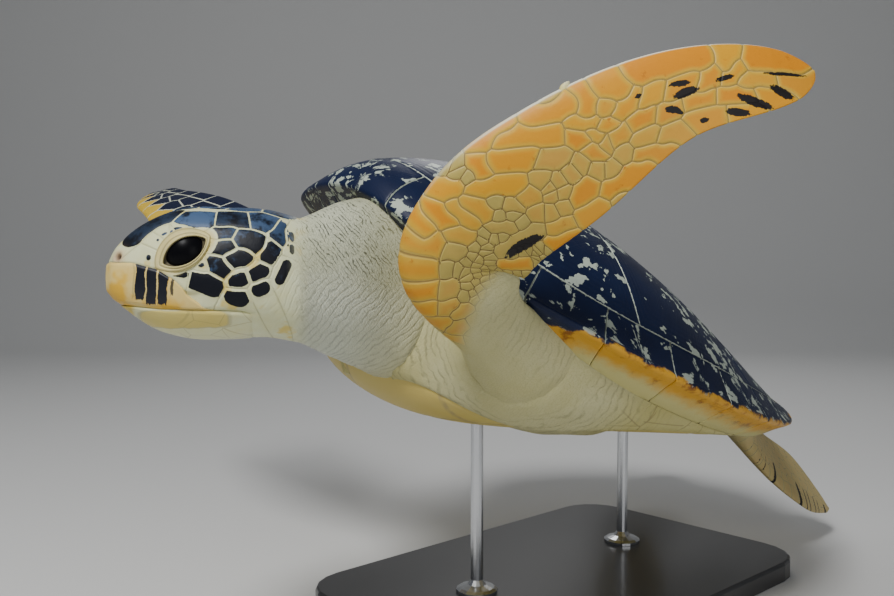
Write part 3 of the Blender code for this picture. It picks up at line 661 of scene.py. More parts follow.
# In front the underside of the rim keeps the top's navy colours this far in as painted shade, from a place
# ahead (by cosine) on
PAINTED_SHADE_FRONT = 0.030
PAINTED_SHADE_FRONT_FROM = (0.60, 0.86)


def rim_section(angle):
    """The section of a plate of the rim, over the edge and back underneath, as one smooth loop.

    Returns the loops and, for the points of a loop, how far round they lie past the rim's edge.
    """
    inner = RING_INNER + RIM_INSET * GAP / SHELL_HALF_WIDTH
    direction = np.stack([np.cos(angle), np.sin(angle)], -1)
    over = shell_top(np.array([inner, *RIM_OVER])[:, None, None] * direction)
    rim_height = over[-1, :, 2]
    under = []
    for radius, drop in (*RIM_UNDER, (inner, 1.0)):
        x, y = plan(*(radius * direction.T))
        under.append(np.stack([x, y, rim_height - drop * ring_depth(angle)], -1))
    corners = np.concatenate([over, np.array(under)])
    length = np.linalg.norm(np.diff(corners, axis=0), axis=2).mean(1)
    knots = np.append(0, np.cumsum(length))
    places = np.linspace(0, knots[-1], RIM_CORNERS)
    return np.moveaxis(through(knots, corners, places), 0, 1), places - knots[len(RIM_OVER)]


def rim_plate(name, start, end, finish, number):
    """A plate of the rim: sections from one seam to the next, drawn in along their normals by the bevel.

    The sections crowd towards both seams: the share of the way = half of 1 - cos * (0.4 + 0.6 |cos|^0.2).
    """
    trim = RIM_TRIM * GAP / SHELL_HALF_WIDTH
    swing = np.cos(math.pi * np.linspace(0, 1, RIM_ROWS))
    part = 0.5 - 0.5 * swing * (0.4 + 0.6 * np.abs(swing) ** 0.2)
    angles = start + trim + (end - start - 2 * trim) * part
    rings, past_edge = rim_section(angles)
    beside = np.minimum(part, 1 - part)[:, None] * (end - start) * RIM_LENGTH
    seam = np.minimum(beside, past_edge - past_edge[0])
    rings = rings - outward(rings) * bevel(seam)[..., None]
    points, faces = tube(rings)
    growth = rings[RIM_ROWS // 2, RIM_GROWTH_AT, :2]
    # Painted shade: in front the amber underneath starts further round, so the top's navy colours cover the
    # rim's shaded underside
    under = past_edge - PAINTED_SHADE_FRONT * ease(*PAINTED_SHADE_FRONT_FROM, np.cos(angles))[:, None]
    values = {"edge": np.append(seam.ravel(), [0, 0]), "under": np.append(under.ravel(), [0, 0]),
              "ray": growth_ray(points[:, :2] - growth, number * 1.7)}
    return piece("plate_" + name, to_row(points), faces, finish, values, (name,))


# Colours here and below are linear red, green and blue. In a pair, noise blends the first into the second
SCUTE_NAVY = ((0.002, 0.003, 0.012), (0.008, 0.018, 0.064))
SCUTE_STREAKS = (0.37, 0.42, 0.35)
SCUTE_SEAMS = (0.50, 0.55, 0.46)
SCUTE_AMBER = ((0.60, 0.31, 0.022), (0.26, 0.09, 0.008))
SCUTE_UNDERSIDE = (0.54, 0.49, 0.20)
# Half the width of the pale seams, and how far past the rim's edge amber and then the pale underside begin
SEAM_HALF_WIDTH = 0.0009
AMBER_FROM = (0.0125, 0.0165)
UNDERSIDE_FROM = (0.026, 0.046)


def scute_finish():
    """Navy black with cream seams, cream streaks from the middle of growth, and amber underneath.

    A spot is cream where the weighted sum of streaks, blotches, regions and fine noise is high, or
    where a thin streak runs, which happens more towards the rear.
    """
    made, tree, shader = finish_of("shell plates", 0.42, 0.0, shine=0.22)
    here, ray = place_of(tree), named(tree, "ray", True)
    ragged = cloud(tree, here, 300, 4, 0.65)
    streak = cloud(tree, stretched(tree, ray, (7.0, 7.0, 1.2)), 1.0, 4, 0.62)
    blotch = cloud(tree, here, 82, 3, 0.55)
    region = cloud(tree, here, 9, 2)
    both = plus(tree, product(tree, streak, 0.36), product(tree, blotch, 0.64), product(tree, region, 0.24))
    pale = rise(tree, plus(tree, both, product(tree, ragged, 0.05)), 0.700, 0.712)
    thin = rise(tree, cloud(tree, stretched(tree, ray, (26.0, 26.0, 1.6)), 1.0, 3, 0.6), 0.64, 0.66)
    rearward = rise(tree, parts_of(tree, here)[1], -0.05, 0.15)
    pale = maths(tree, "MAXIMUM", pale, product(tree, thin, rearward, 0.8))
    navy = blend(tree, cloud(tree, here, 11, 4, 0.6), *SCUTE_NAVY)
    body = blend(tree, pale, navy, SCUTE_STREAKS)
    line = plus(tree, named(tree, "edge"), product(tree, ragged, 0.0012))
    top = blend(tree, rise(tree, line, SEAM_HALF_WIDTH + 0.0002, SEAM_HALF_WIDTH - 0.0002), body, SCUTE_SEAMS)
    amber = blend(tree, rise(tree, cloud(tree, here, 55, 5, 0.7), 0.50, 0.66), *SCUTE_AMBER)
    border = plus(tree, named(tree, "under"), product(tree, cloud(tree, here, 40, 4, 0.7), 0.030))
    amber = blend(tree, rise(tree, border, *UNDERSIDE_FROM), amber, SCUTE_UNDERSIDE)
    colour = blend(tree, rise(tree, border, *AMBER_FROM), top, amber)
    grooves = cloud(tree, stretched(tree, ray, (40.0, 40.0, 1.2)), 1.0, 3, 0.6)
    surface(tree, shader, colour, grooves, 0.0004, 0.5)
    return made


def make_shell():
    """Every plate of the dome and of the rim."""
    finish = scute_finish()
    for number, (name, (edge, growth)) in enumerate(plate_outlines().items()):
        dome_plate(name, edge, np.array(growth), finish, number)
    rim_plate("nuchal", -NUCHAL_HALF_ANGLE, NUCHAL_HALF_ANGLE, finish, 20)
    for side, mirror in (("left", 1), ("right", -1)):
        for place in range(MARGINALS):
            ends = [mirror * ring_angle(1 + STEPS_PER_MARGINAL * (place + end)) for end in (0, 1)]
            rim_plate(f"marginal_{side}_{place + 1}", min(ends), max(ends), finish, 21 + place + 13 * mirror)


# ---------------------------------------------------------------- belly


def belly(angle, turn):
    """The underside: at turn 0 the inner edge of the ring of plates, at a quarter turn the middle.

    Its section is a superellipse, boxy in front where the breast is full and rounder behind.
    """
    forward = np.cos(angle)
    front, rear = np.maximum(forward, 0) ** 2, np.maximum(-forward, 0) ** 2
    across, down = (sides + ahead * front + behind * rear
                    for sides, ahead, behind in (BELLY_ACROSS, BELLY_DOWN))
    reach = np.cos(turn) ** across
    sink = np.sin(turn) ** down
    x, y = plan(RING_INNER * reach * forward, RING_INNER * reach * np.sin(angle))
    rim = RIM_RISE * forward + RIM_SADDLE * np.cos(2 * angle)
    rim = rim + NUCHAL_LIFT * np.exp(-((np.minimum(angle, 2 * math.pi - angle) / NUCHAL_SPREAD) ** 2))
    ahead = reach * forward
    depth = BELLY_DEPTH * (1 + BELLY_FORWARD * ahead + BELLY_BOW * ahead**2)
    height = (rim - ring_depth(angle)) * (1 - sink) - depth * sink
    return np.stack([x, y, height], -1)


def belly_rings(turns, angle, depth=0.0):
    """Rings of the underside, moved in along its normal by depth."""
    turn = np.clip(turns, 1e-4, math.pi / 2 - 1e-4)
    step = 1e-3
    inside = np.clip(turn, step, math.pi / 2 - step)
    along = belly(angle, inside + step) - belly(angle, inside - step)
    round_ = belly((angle + step) % (2 * math.pi), inside) - belly((angle - step) % (2 * math.pi), inside)
    round_ = np.where((angle < 2 * step)[..., None], (0, 1, 0), round_)
    normal = unit(np.cross(along, round_))
    normal = normal * np.where(normal[..., 2:] > 0, -1, 1)
    return belly(angle, turn) - np.asarray(depth)[..., None] * normal


# The belly plate's grooves: where its cross seams meet the middle line, how deep and how wide they and the
# edge are, and how much further out the outer face lies than the solid's
PLASTRON_SEAMS = (-0.185, -0.115, -0.030, 0.055, 0.135)
GROOVE_DEPTH = 0.0009
GROOVE_WIDTH = 0.0016
EDGE_ROUNDING = 0.0016
PLASTRON_PROUD = 0.0004
PLASTRON_COLUMNS = 260
PLASTRON_ROWS = 84
# The inner face keeps every twelfth ring and lies far from any seam
INNER_STEP = 12
NO_SEAM = 0.01


def plastron_edge(angle):
    """The turn at which the belly plate starts: it is notched where the limbs leave the body."""
    return PLASTRON_EDGE + PLASTRON_NOTCH * np.sin(2 * angle) ** 2


def make_plastron():
    """The belly plate: a polar grid over the belly, with grooves between its six pairs of plates.

    A groove sinks by the exponential of minus the square of the distance to the nearest seam. The
    cross seams bow with the cosine of the distance from the middle line, and noise makes them wander.
    """
    angle = full_turn(PLASTRON_COLUMNS)
    part = 1 - (1 - np.linspace(0, 0.985, PLASTRON_ROWS)) ** 1.25
    edge = plastron_edge(angle)
    turns = edge + (math.pi / 2 - edge) * part[:, None]
    angles = np.broadcast_to(angle, turns.shape)
    flat = belly(angles, turns)
    x, y = flat[..., 0], flat[..., 1]
    along = y - 0.016 * np.cos(np.abs(x) * 40) + 0.004 * noise(flat, 0.03)
    across = np.min([np.abs(along - seam) for seam in PLASTRON_SEAMS], axis=0)
    middle = np.abs(x + 0.002 * noise(flat, 0.02))
    bridge = np.abs(np.abs(x) - 0.125 - 0.03 * np.cos(y * 12))
    seam = np.minimum(np.minimum(across, middle), bridge)
    from_edge = np.linalg.norm(flat - flat[:1], axis=-1)
    groove = GROOVE_DEPTH * np.exp(-((seam / GROOVE_WIDTH) ** 2))
    groove = groove + EDGE_ROUNDING * np.exp(-from_edge / EDGE_ROUNDING)
    outer = belly_rings(turns, angles, groove - PLASTRON_PROUD)
    few = turns[::INNER_STEP]
    inner = belly_rings(few, angles[::INNER_STEP], np.full(few.shape, PLASTRON_THICKNESS))
    points, faces = tube(np.concatenate([outer[::-1], inner]))
    values = {"edge": np.append(seam[::-1].ravel(), np.full(few.size + 2, NO_SEAM))}
    piece("belly_plates", to_row(points), faces, plastron_finish(), values, ("plastron",))


PLASTRON_YELLOW = ((0.54, 0.47, 0.16), (0.50, 0.36, 0.08))
PLASTRON_SEAM = (0.38, 0.30, 0.12)


def plastron_finish():
    """Yellow horn, faintly clouded and browner in the seams."""
    made, tree, shader = finish_of("belly plates", 0.45, 0.0, shine=0.3)
    here = place_of(tree)
    plate = blend(tree, cloud(tree, here, 14, 4, 0.6), *PLASTRON_YELLOW)
    line = rise(tree, named(tree, "edge"), 0.0030, 0.0008)
    surface(tree, shader, blend(tree, line, plate, PLASTRON_SEAM), cloud(tree, here, 120, 3), 0.0003, 0.35)
    return made


# ---------------------------------------------------------------- skin: every part of the flesh


# What the skin's finish reads for each point: how far inside a scale's reach it lies, and how much it is of
# the head, of a flipper, of a flipper's upper side, painted black as shade, of the nape, of the belly's side,
# of an eyelid, of a black spot, of a pale rim and of a fold, and the place across the folds
SKIN_MASKS = ("edge", "head", "arm", "over", "dark", "nape", "plates", "lid", "spots", "rim", "fold", "phase")
NO_SCALES = -0.02
ALL_SCALES = 0.05
# How yellow the flesh of the limbs, the tail and the trunk beside the shoulder is
LIMB_PLATES = 0.75


def skin_part(rings, grain, cells=None, **masks):
    """One closed tube of the skin: its rings and, for each point of them, what the finish reads.

    cells = the points' places among the scales, with both ends of each scale and its look.
    """
    masks.setdefault("edge", NO_SCALES)
    values = {key: np.broadcast_to(np.asarray(masks.get(key, 0.0), float), rings.shape[:2])
              for key in SKIN_MASKS}
    return {"rings": rings, "grain": grain, "values": values, "cells": cells}


# The near shoulder, and how far from it the folds begin and end and the belly's side gets its thin scutes
SHOULDER = np.array((0.140, -0.200, -0.010))
FOLDS_FROM = (0.045, 0.065)
FOLDS_TO = (0.150, 0.110)
SCUTES_FROM = (0.07, 0.12)
TRUNK_COLUMNS = 220
# The trunk's rings: under the dome as shares of its inner edge, down the wall, and under the belly plate
DOME_RINGS = (0.12, 0.35, 0.58, 0.79, 0.93, 0.994)
WALL_RINGS = 20
BELLY_RINGS = (0.05, 0.25, 0.5, 0.75, 0.95)
# The thin scutes' middles, by angle round the rim and turn under it, and how far they are shifted by chance
BRIDGE_ANGLES = np.radians(np.arange(24, 160, 13.0))
BRIDGE_TURNS = (0.06, 0.24, 0.42)
BRIDGE_SHIFT = 0.07


def trunk_part():
    """Flesh under the shell: up behind the rim plates, closed under the dome, and down over the belly."""
    angle = full_turn(TRUNK_COLUMNS)
    uv = np.array(DOME_RINGS)[:, None, None] * on_ring(angle)
    under_dome = shell_below(uv, np.full(uv.shape[:2], SCUTE_THICKNESS + GAP))
    edge = plastron_edge(angle)
    turns = np.linspace(0, 1, WALL_RINGS)[:, None] * edge
    wall = belly_rings(turns, np.broadcast_to(angle, turns.shape))
    turns = edge + (math.pi / 2 - edge) * np.array(BELLY_RINGS)[:, None]
    under_plate = np.full(turns.shape, PLASTRON_THICKNESS + 0.001)
    inner = belly_rings(turns, np.broadcast_to(angle, turns.shape), under_plate)
    rings = np.concatenate([under_dome, wall, inner])
    away = np.linalg.norm(rings - SHOULDER, axis=-1)
    seeds = bridge_seeds()
    cells = (rings, seeds, seeds, looks_of(len(seeds), 0.0, 0.0))
    return skin_part(rings, rings.copy(), cells, fold=ease(*FOLDS_FROM, away) * ease(*FOLDS_TO, away),
                     plates=LIMB_PLATES + (1 - LIMB_PLATES) * ease(*SCUTES_FROM, away), phase=0.7 * away)


def bridge_seeds():
    """The middles of the large thin scutes between the belly plate and the rim, on both sides."""
    spread = np.random.default_rng(8)
    angle, turn = np.meshgrid(BRIDGE_ANGLES, BRIDGE_TURNS, indexing="ij")
    angle = angle + spread.uniform(-BRIDGE_SHIFT, BRIDGE_SHIFT, angle.shape)
    left = belly(angle.ravel(), turn.ravel())
    return np.concatenate([left, left * (-1, 1, 1)])


def head_frame():
    """The head's own directions as rows: forward, to its left, and up."""
    forward = unit(HEAD_FORWARD)
    left = unit(np.cross(HEAD_UP, forward))
    return np.stack([forward, left, np.cross(forward, left)])


def head_point(local):
    """From (forward, left, up) round the head's centre to the body frame."""
    return HEAD_CENTRE + np.asarray(local) @ head_frame()


def head_size(forward):
    """Half width, top and bottom of the head's section at places along it."""
    return [through(HEAD_STATIONS, values, forward) for values in (HEAD_HALF_WIDTH, HEAD_TOP, HEAD_BOTTOM)]


def section(width, top, bottom, turn):
    """A closed section: two half superellipses that share their widest line."""
    across, rise_ = np.cos(turn), np.sin(turn)
    middle = top + WIDEST_LINE * (bottom - top)
    reach = np.where(rise_ > 0, top - middle, middle - bottom)
    side = width * np.sign(across) * np.abs(across) ** SECTION_ACROSS
    return side, middle + reach * np.sign(rise_) * np.abs(rise_) ** SECTION_RISE


def head_half_width(forward, up):
    """Half the width of the head at a place of its side view, and 0 outside the head: section, solved."""
    width, top, bottom = head_size(np.clip(forward, HEAD_STATIONS[0], HEAD_STATIONS[-1]))
    middle = top + WIDEST_LINE * (bottom - top)
    reach = np.where(up > middle, top - middle, middle - bottom)
    share = np.clip(np.abs(up - middle) / np.maximum(reach, 1e-6), 0, 1) ** (1 / SECTION_RISE)
    return width * (1 - share**2) ** (SECTION_ACROSS / 2)


# Head scales of one side, in millimetres: the two ends of each as (forward, up), its reach and the width of
# its pale border
SIDE_SCALES = (
    (43, 24, 20.5, 35, 13.5, 0.2), (9, 32, -8.5, 32, 12.5, 0.1), (-17.5, 32, -33.5, 32.5, 14, 0.1),
    (-40, 33, -52, 30.5, 14, 0.1), (-58, 27.5, -59, 18.5, 9, 0.2), (-16, 22.5, -22, 23, 8, 0.3),
    (-31, 19.5, -41.5, 15.5, 10, 0.3), (-12, 12.5, -21.5, 14, 7.8, 0.4), (-54, 12.5, -50, 6, 6.8, 0.6),
    (-26.5, 4.5, -32.5, 5.5, 8.8, 0.9), (-11, 2.5, -18.5, -3, 8, 0.5), (-41, -6.5, -46, -3.5, 6.2, 0.7),
    (-63, 1, -58, -10, 4.6, 0.5), (-27.5, -11.5, -32.5, -9.5, 6.4, 1), (0, -8, -13, -13.5, 9.8, 0.5),
    (-26.5, -21, -30.5, -22.5, 8.6, 1.2), (-43.5, -17, -46.5, -15.5, 6.4, 0.9),
    (19.5, -4.5, 7.5, -6, 3.4, 0.2), (-1.5, 0.5, -4.5, 0.5, 2.8, 0.4), (32.5, 6, 32.5, 5.5, 2.6, 0.2),
    (16.5, 24, 16.5, 24, 2.4, 0.2), (14, 25.5, 11, 25.5, 3, 0.2), (9, 23, 8.5, 23, 2.6, 0.2),
    (23, 22, 21, 23, 1.8, 0.2), (26.5, 18, 26.2, 18.2, 1.8, 0.2), (-66, 23.5, -66.5, 19, 2.8, 0.4),
    (-66.5, 14, -66.5, 10, 2.8, 0.4))
# Head scales of the top, on the middle line or (with left above 0) on both sides: (forward, left, reach)
TOP_SCALES = ((0.0120, 0.0, 0.024), (-0.0120, 0.0, 0.026), (-0.0360, 0.011, 0.024), (-0.0560, 0.012, 0.016))
TOP_BORDER = 0.0001
NOSTRIL = (0.0548, 0.0066)
NOSTRIL_RADIUS = 0.0024
NOSTRIL_RIM = 2.2
# The eye's opening: its middle as (forward, up), size, tilt, and least distance to the middle plane
EYE_MIDDLE = (0.0075, 0.0100)
EYE_HALF_LENGTH = 0.0168
EYE_HALF_HEIGHT = 0.0088
EYE_TILT = math.radians(31)
EYE_INSIDE = 0.012


def head_scales():
    """The scales on the head's surface: both ends of each, its reach and its pale border."""
    table = np.array(SIDE_SCALES) / 1000
    starts, ends, reaches, pales = [], [], [], []
    for side in (1, -1):
        for found, flat in ((starts, table[:, 0:2]), (ends, table[:, 2:4])):
            out = head_half_width(flat[:, 0], flat[:, 1])
            found.append(np.stack([flat[:, 0], side * out, flat[:, 1]], 1))
        reaches.append(table[:, 4])
        pales.append(table[:, 5])
    for forward, left, reach in TOP_SCALES:
        for side in (1, -1) if left else (1,):
            middle = np.array([[forward, side * left, float(head_size(forward)[1])]])
            starts.append(middle)
            ends.append(middle)
            reaches.append([reach])
            pales.append([TOP_BORDER])
    return [np.concatenate(part) for part in (starts, ends, reaches, pales)]


def eye_place(local):
    """Where points of the head are round the eye: 1 on the opening's edge and less inside it."""
    forward, up = local[..., 0] - EYE_MIDDLE[0], local[..., 2] - EYE_MIDDLE[1]
    along = forward * math.cos(EYE_TILT) - up * math.sin(EYE_TILT)
    across = forward * math.sin(EYE_TILT) + up * math.cos(EYE_TILT)
    almond = np.hypot(along / EYE_HALF_LENGTH, across / EYE_HALF_HEIGHT)
    return almond + 20 * (np.abs(local[..., 1]) < EYE_INSIDE)


def neck_rings(count, turn):
    """The neck's rings, from the nape back into the trunk, turning from the head's level to the body's.

    A ring = the path's point + a section across the neck's side and up directions there.
    """
    _, left, up = head_frame()
    nape = head_point((HEAD_STATIONS[0] - GAP, 0.0, -NECK_START_DROP))
    frames = [np.array([start, *rest])
              for start, rest in ((nape, NECK_PATH), (left, NECK_SIDES), (up, NECK_UPS))]
    at = np.linspace(0, 1, count + 1)[1:]
    centre, side, upright = (through(NECK_PLACES, values, at) for values in frames)
    width, over, under = (through(NECK_PLACES, values, at)[:, None]
                          for values in (NECK_HALF_WIDTH, NECK_OVER, NECK_UNDER))
    across, lift = section(width, over, -under, turn)
    rings = centre[:, None] + across[..., None] * side[:, None] + lift[..., None] * upright[:, None]
    length = np.linalg.norm(np.diff(centre, axis=0, prepend=nape[None]), axis=1).cumsum()
    grain = np.stack([np.broadcast_to(HEAD_STATIONS[0] - length[:, None], across.shape), across, lift], -1)
    return rings, grain


HEAD_COLUMNS = 230
HEAD_ROWS = 120
NECK_ROWS = 60
# What stands out of the head or sinks into it
SCALE_RISE = 0.0006
SOCKET_DEPTH = 0.0085
HORN_SINK = 0.0018
MOUTH_CREASE = 0.0006
MOUTH_CREASE_WIDTH = 0.0011
NOSTRIL_SWELL = 0.0018
NOSTRIL_DEPTH = 0.0052
# Where the head's masks fade, as (from, to)
BEAK_REAR = (-0.005, 0.001)
BEAK_UNDER = (0.0, 0.0022)
JAW_REAR = (-0.0400, -0.0340)
JAW_OVER = (0.0010, -0.0015)
MOUTH_CORNER = (-0.048, -0.036)
NECK_FROM = (-0.062, -0.082)
NAPE_FROM = (-0.058, -0.075)
NAPE_LOW = (-0.016, 0.020)
NAPE_TO = (-0.27, -0.17)
THROAT_FROM = (-0.030, -0.110)
THROAT_TOP = (0.012, -0.020)
YELLOW_FROM = (-0.10, -0.20)
LID_SKIN = (1.50, 1.30)
SOCKET = (1.25, 0.80)
SCALES_ROUND_EYE = 1.42
ROUND_EYE_WIDTH = 0.008


def head_part():
    """Head and neck in one run of rings, with scales, lids, nostrils, mouth corners and folds.

    Each point moves along its normal: out by a scale's height, and in for the eye's socket, the bed
    of beak and jaw, the crease of the mouth and the nostrils.
    """
    turn = full_turn(HEAD_COLUMNS) + math.pi / 2
    ends = np.linspace(0, math.pi / 2, HEAD_ROWS)
    places = HEAD_STATIONS[0] + (HEAD_STATIONS[-1] - HEAD_STATIONS[0]) * np.sin(ends[::-1]) ** HEAD_CROWDING
    width, top, bottom = (value[:, None] for value in head_size(places))
    side, height = section(width, top, bottom, turn)
    local = np.stack([np.broadcast_to(places[:, None], side.shape), side, height], -1)
    neck, grain = neck_rings(NECK_ROWS, turn)
    rings = np.concatenate([head_point(local), neck])
    local = np.concatenate([local, grain])
    starts, ends, reaches, pales = head_scales()
    edge, within = cell_borders(local, starts, ends, reaches)
    eye = eye_place(local)
    round_eye = (eye - SCALES_ROUND_EYE) * ROUND_EYE_WIDTH
    forward, _, up = np.moveaxis(local, -1, 0)
    over_mouth = up - mouth_height(forward)
    in_beak = ease(*BEAK_UNDER, height_of(BEAK_TOP, forward) - up) * ease(*BEAK_REAR, forward)
    in_jaw = ease(*JAW_OVER, over_mouth) * ease(*JAW_REAR, forward)
    crease = np.exp(-((over_mouth / MOUTH_CREASE_WIDTH) ** 2)) * ease(*MOUTH_CORNER, forward)
    nostril, nostril_rim = nostril_dent(local), nostril_dent(local, NOSTRIL_RIM)
    lift = SCALE_RISE * ease(-0.0002, 0.0022, np.minimum(edge, round_eye))
    lift = lift - SOCKET_DEPTH * ease(*SOCKET, eye)
    lift = lift - HORN_SINK * np.maximum(in_beak, in_jaw) - MOUTH_CREASE * crease
    lift = lift + NOSTRIL_SWELL * nostril_rim - NOSTRIL_DEPTH * nostril
    rings = rings + outward(rings) * lift[..., None]
    cells = (local, starts, ends, looks_of(len(starts), 0.0, pales))
    # Painted shade: the nostrils' dents are painted black through the dark mask
    return skin_part(rings, local, cells, edge=np.minimum(within, round_eye),
                     head=1 - ease(*NECK_FROM, forward),
                     nape=ease(*NAPE_FROM, forward) * ease(*NAPE_LOW, up) * ease(*NAPE_TO, forward),
                     fold=ease(*THROAT_FROM, forward) * ease(*THROAT_TOP, up),
                     phase=forward * 0.75 + up * 0.55, plates=LIMB_PLATES * ease(*YELLOW_FROM, forward),
                     lid=ease(*LID_SKIN, eye), rim=nostril_rim, dark=nostril)


def height_of(line, forward):
    """The height of a line of (forward, up) points at places along the head."""
    places, heights = np.array(sorted(line)).T
    return np.interp(forward, places, heights)


def mouth_height(forward):
    """The height of the mouth's line at places along the head, with its fall behind the beak."""
    return height_of(MOUTH_LINE + JAW_HINGE, forward)


def nostril_dent(local, wider=1.0):
    """1 in the middle of each nostril, falling off as the exponential of minus the distance squared."""
    out = float(head_half_width(*NOSTRIL))
    away = np.min([np.linalg.norm(local - (NOSTRIL[0], side * out, NOSTRIL[1]), axis=-1)
                   for side in (1, -1)], axis=0)
    return np.exp(-((away / (wider * NOSTRIL_RADIUS)) ** 2))


# The last part of a limb, from which its chord closes like an ellipse, and how far it closes
ROUND_TIP = 0.95
TIP_CLOSES = 0.98


def limb_rings(path, leading, sizes, places, turn, foil):
    """Sections of a limb along a smooth path, round at the root and a thin foil further out.

    A section = centre + half the chord * cos(turn) along the leading edge + half the thickness *
    sin(turn) * (1 - foil + foil * cos(turn)) across it. The root is at place 0 and the tip at 1.
    """
    path = np.asarray(path, float)
    knots = np.append(0, np.cumsum(np.linalg.norm(np.diff(path, axis=0), axis=1)))
    length = knots[-1]
    knots /= length
    centres = through(knots, path, places)
    step = 1e-3
    along = unit(through(knots, path, np.clip(places + step, 0, 1)) - through(knots, path, places - step))
    edge = through((0, 0.5, 1), leading, places)
    edge = unit(edge - (edge * along).sum(1, keepdims=True) * along)
    out = np.cross(along, edge)
    chord, thick = (through(sizes[0], values, places) for values in sizes[1:])
    bite = foil * np.clip(places / FOIL_FROM, 0, 1)[:, None]
    profile = np.sin(turn) * (1 - bite + bite * np.cos(turn))
    chord = chord * np.sqrt(1 - TIP_CLOSES * np.clip((places - ROUND_TIP) / (1 - ROUND_TIP), 0, 1) ** 2)
    reach = 0.5 * chord[:, None] * np.cos(turn)
    lift = 0.5 * thick[:, None] * profile
    rings = centres[:, None] + reach[..., None] * edge[:, None] + lift[..., None] * out[:, None]
    flat = np.stack([np.broadcast_to(places[:, None] * length, reach.shape), reach, lift], -1)
    return rings, flat


def tip_places(start, end, count):
    """Places along a limb, even over most of it and closing up where its tip is rounded."""
    round_ = max(10, count // 9)
    even = np.linspace(start, ROUND_TIP, count - round_ + 1)[:-1]
    return np.append(even, ROUND_TIP + (end - ROUND_TIP) * np.sin(np.linspace(0, math.pi / 2, round_)))


# Large flipper scales, in hundredths: the two ends of each as (place, across), across running from -100 at
# the trailing edge to 100 at the leading edge, and how amber it is
ARM_SCALES = (
    (90, 40, 97, 25, 90), (87, 70, 86, 30, 90), (75, 65, 83, 60, 100), (70, 82, 72, 45, 100),
    (68, 80, 67, 45, 80), (61, 85, 66, 70, 100), (56, 80, 62, 40, 100), (52, 82, 52, 60, 90),
    (53, 95, 57, 97, 90), (54, 60, 58, 38, 100), (50, 52, 54, 12, 100), (47, 92, 49, 70, 100),
    (45.5, 85, 45.5, 45, 80), (47, 55, 47, 20, 60), (48.5, 45, 49, 10, 60), (43.5, 97, 43, 70, 80),
    (44.5, 35, 45, 8, 50), (42, 95, 42.5, 45, 60), (40.3, 95, 40.5, 48, 65), (38.5, 95, 38.7, 48, 70),
    (36.5, 95, 36.7, 62, 70), (34.2, 92, 34.2, 57, 55), (31.5, 88, 31, 65, 45), (42.5, 28, 43, 10, 25),
    (38.2, 36, 38.4, 18, 35), (36.2, 50, 36.2, 28, 45), (35.2, 28, 35.2, 6, 40), (33.2, 55, 33.2, 28, 40),
    (33.3, 8, 33.3, -3, 25), (48, -10, 50, -30, 30), (52, -3, 52.5, -10, 35), (54, -8, 55, -13, 50),
    (46, -42, 52.5, -60, 25), (53, -90, 56, -95, 70), (44, -60, 46.5, -85, 60),
    (59.5, -84, 61.5, -92, 60), (55, -76, 56.5, -78, 50), (65, 38, 67, 23, 70), (67.5, 13, 69, 8, 70),
    (69, 33, 69.5, 31, 60), (70, 16, 73, 27, 80), (74, 13, 76, 18, 80), (77.5, 3, 81, 12, 80),
    (82, 0, 84.5, 16, 70), (85.5, 8, 87.5, 23, 80), (88.5, -10, 92, -16, 60), (94, -23, 98, -50, 60),
    (68, -16, 70, -16, 60), (71, -16, 74, -16, 70), (75, -26, 78, -30, 60), (79, -33, 83, -33, 70),
    (84, -38, 88.5, -52, 90), (85, -78, 88.5, -90, 90), (90, -48, 93, -78, 90), (79, -60, 84, -75, 60),
    (71, -41, 73, -50, 50), (74, -67, 77, -75, 50), (70, -70, 74, -93, 60), (64, -78, 70, -87, 70),
    (60, -57, 62, -53, 65), (65, -8, 65.5, -20, 60), (64, 26, 65, 10, 70), (66, 13, 66.5, 0, 60),
    (66.5, -16, 67, -13, 50), (59, 23, 61, 10, 40))
# Small scales between them, in two regions: (first place, last place, spacing, how amber)
SMALL_SCALES = ((0.30, 0.52, 0.0058, 0.15), (0.52, 0.72, 0.0085, 0.40))
# Their grid's half width, how far they shift and the room they leave to large scales, both in spacings, and
# how much of the chord they fill
SMALL_SPAN = 0.05
SMALL_SHIFT = 0.34
SMALL_ROOM = 1.15
SMALL_WITHIN = 0.52
# Rows of scales on the upper side: (place across, how amber), spaced evenly along the limb
UPPER_ROWS = ((-0.78, 0.0), (-0.34, 0.0), (0.18, 0.0), (0.70, 1.0))
UPPER_STEP = 0.034
UPPER_FROM = 0.12
UPPER_SIDE = 0.2
# Black spots under the flipper: (place, across) of both ends in hundredths, and half the width in centimetres
ARM_SPOTS = (
    (91.2, 5, 97.8, -15, 0.14), (84.2, 3, 86.5, 8, 0.18), (77.8, 21, 80.2, 16, 0.18),
    (78.2, -5, 80.7, -5, 0.3), (76.2, -23, 77.4, -31, 0.24), (77.3, -34, 77.9, -41, 0.18),
    (87, -48, 90.5, -88, 0.32), (84.8, -76, 87.2, -90, 0.28), (92.2, -43, 94.2, -80, 0.34),
    (46.2, -56, 52, -68, 0.42), (80.5, -76, 81.2, -78, 0.18), (73.2, 26, 73.7, 28, 0.16))


def on_limb(place, across, length, sizes):
    """From (place, across) to metres along the limb and metres off its middle line."""
    half_chord = 0.5 * through(sizes[0], sizes[1], np.atleast_1d(place))
    return np.array(place) * length, half_chord * np.array(across)


def limb_rows(rows, length, sizes):
    """Rows in hundredths, with both ends put on the limb by on_limb and the rest of the row kept."""
    table = np.array(rows) / 100
    start = np.stack(on_limb(table[:, 0], table[:, 1], length, sizes), 1)
    end = np.stack(on_limb(table[:, 2], table[:, 3], length, sizes), 1)
    return np.hstack([start, end, table[:, 4:]])


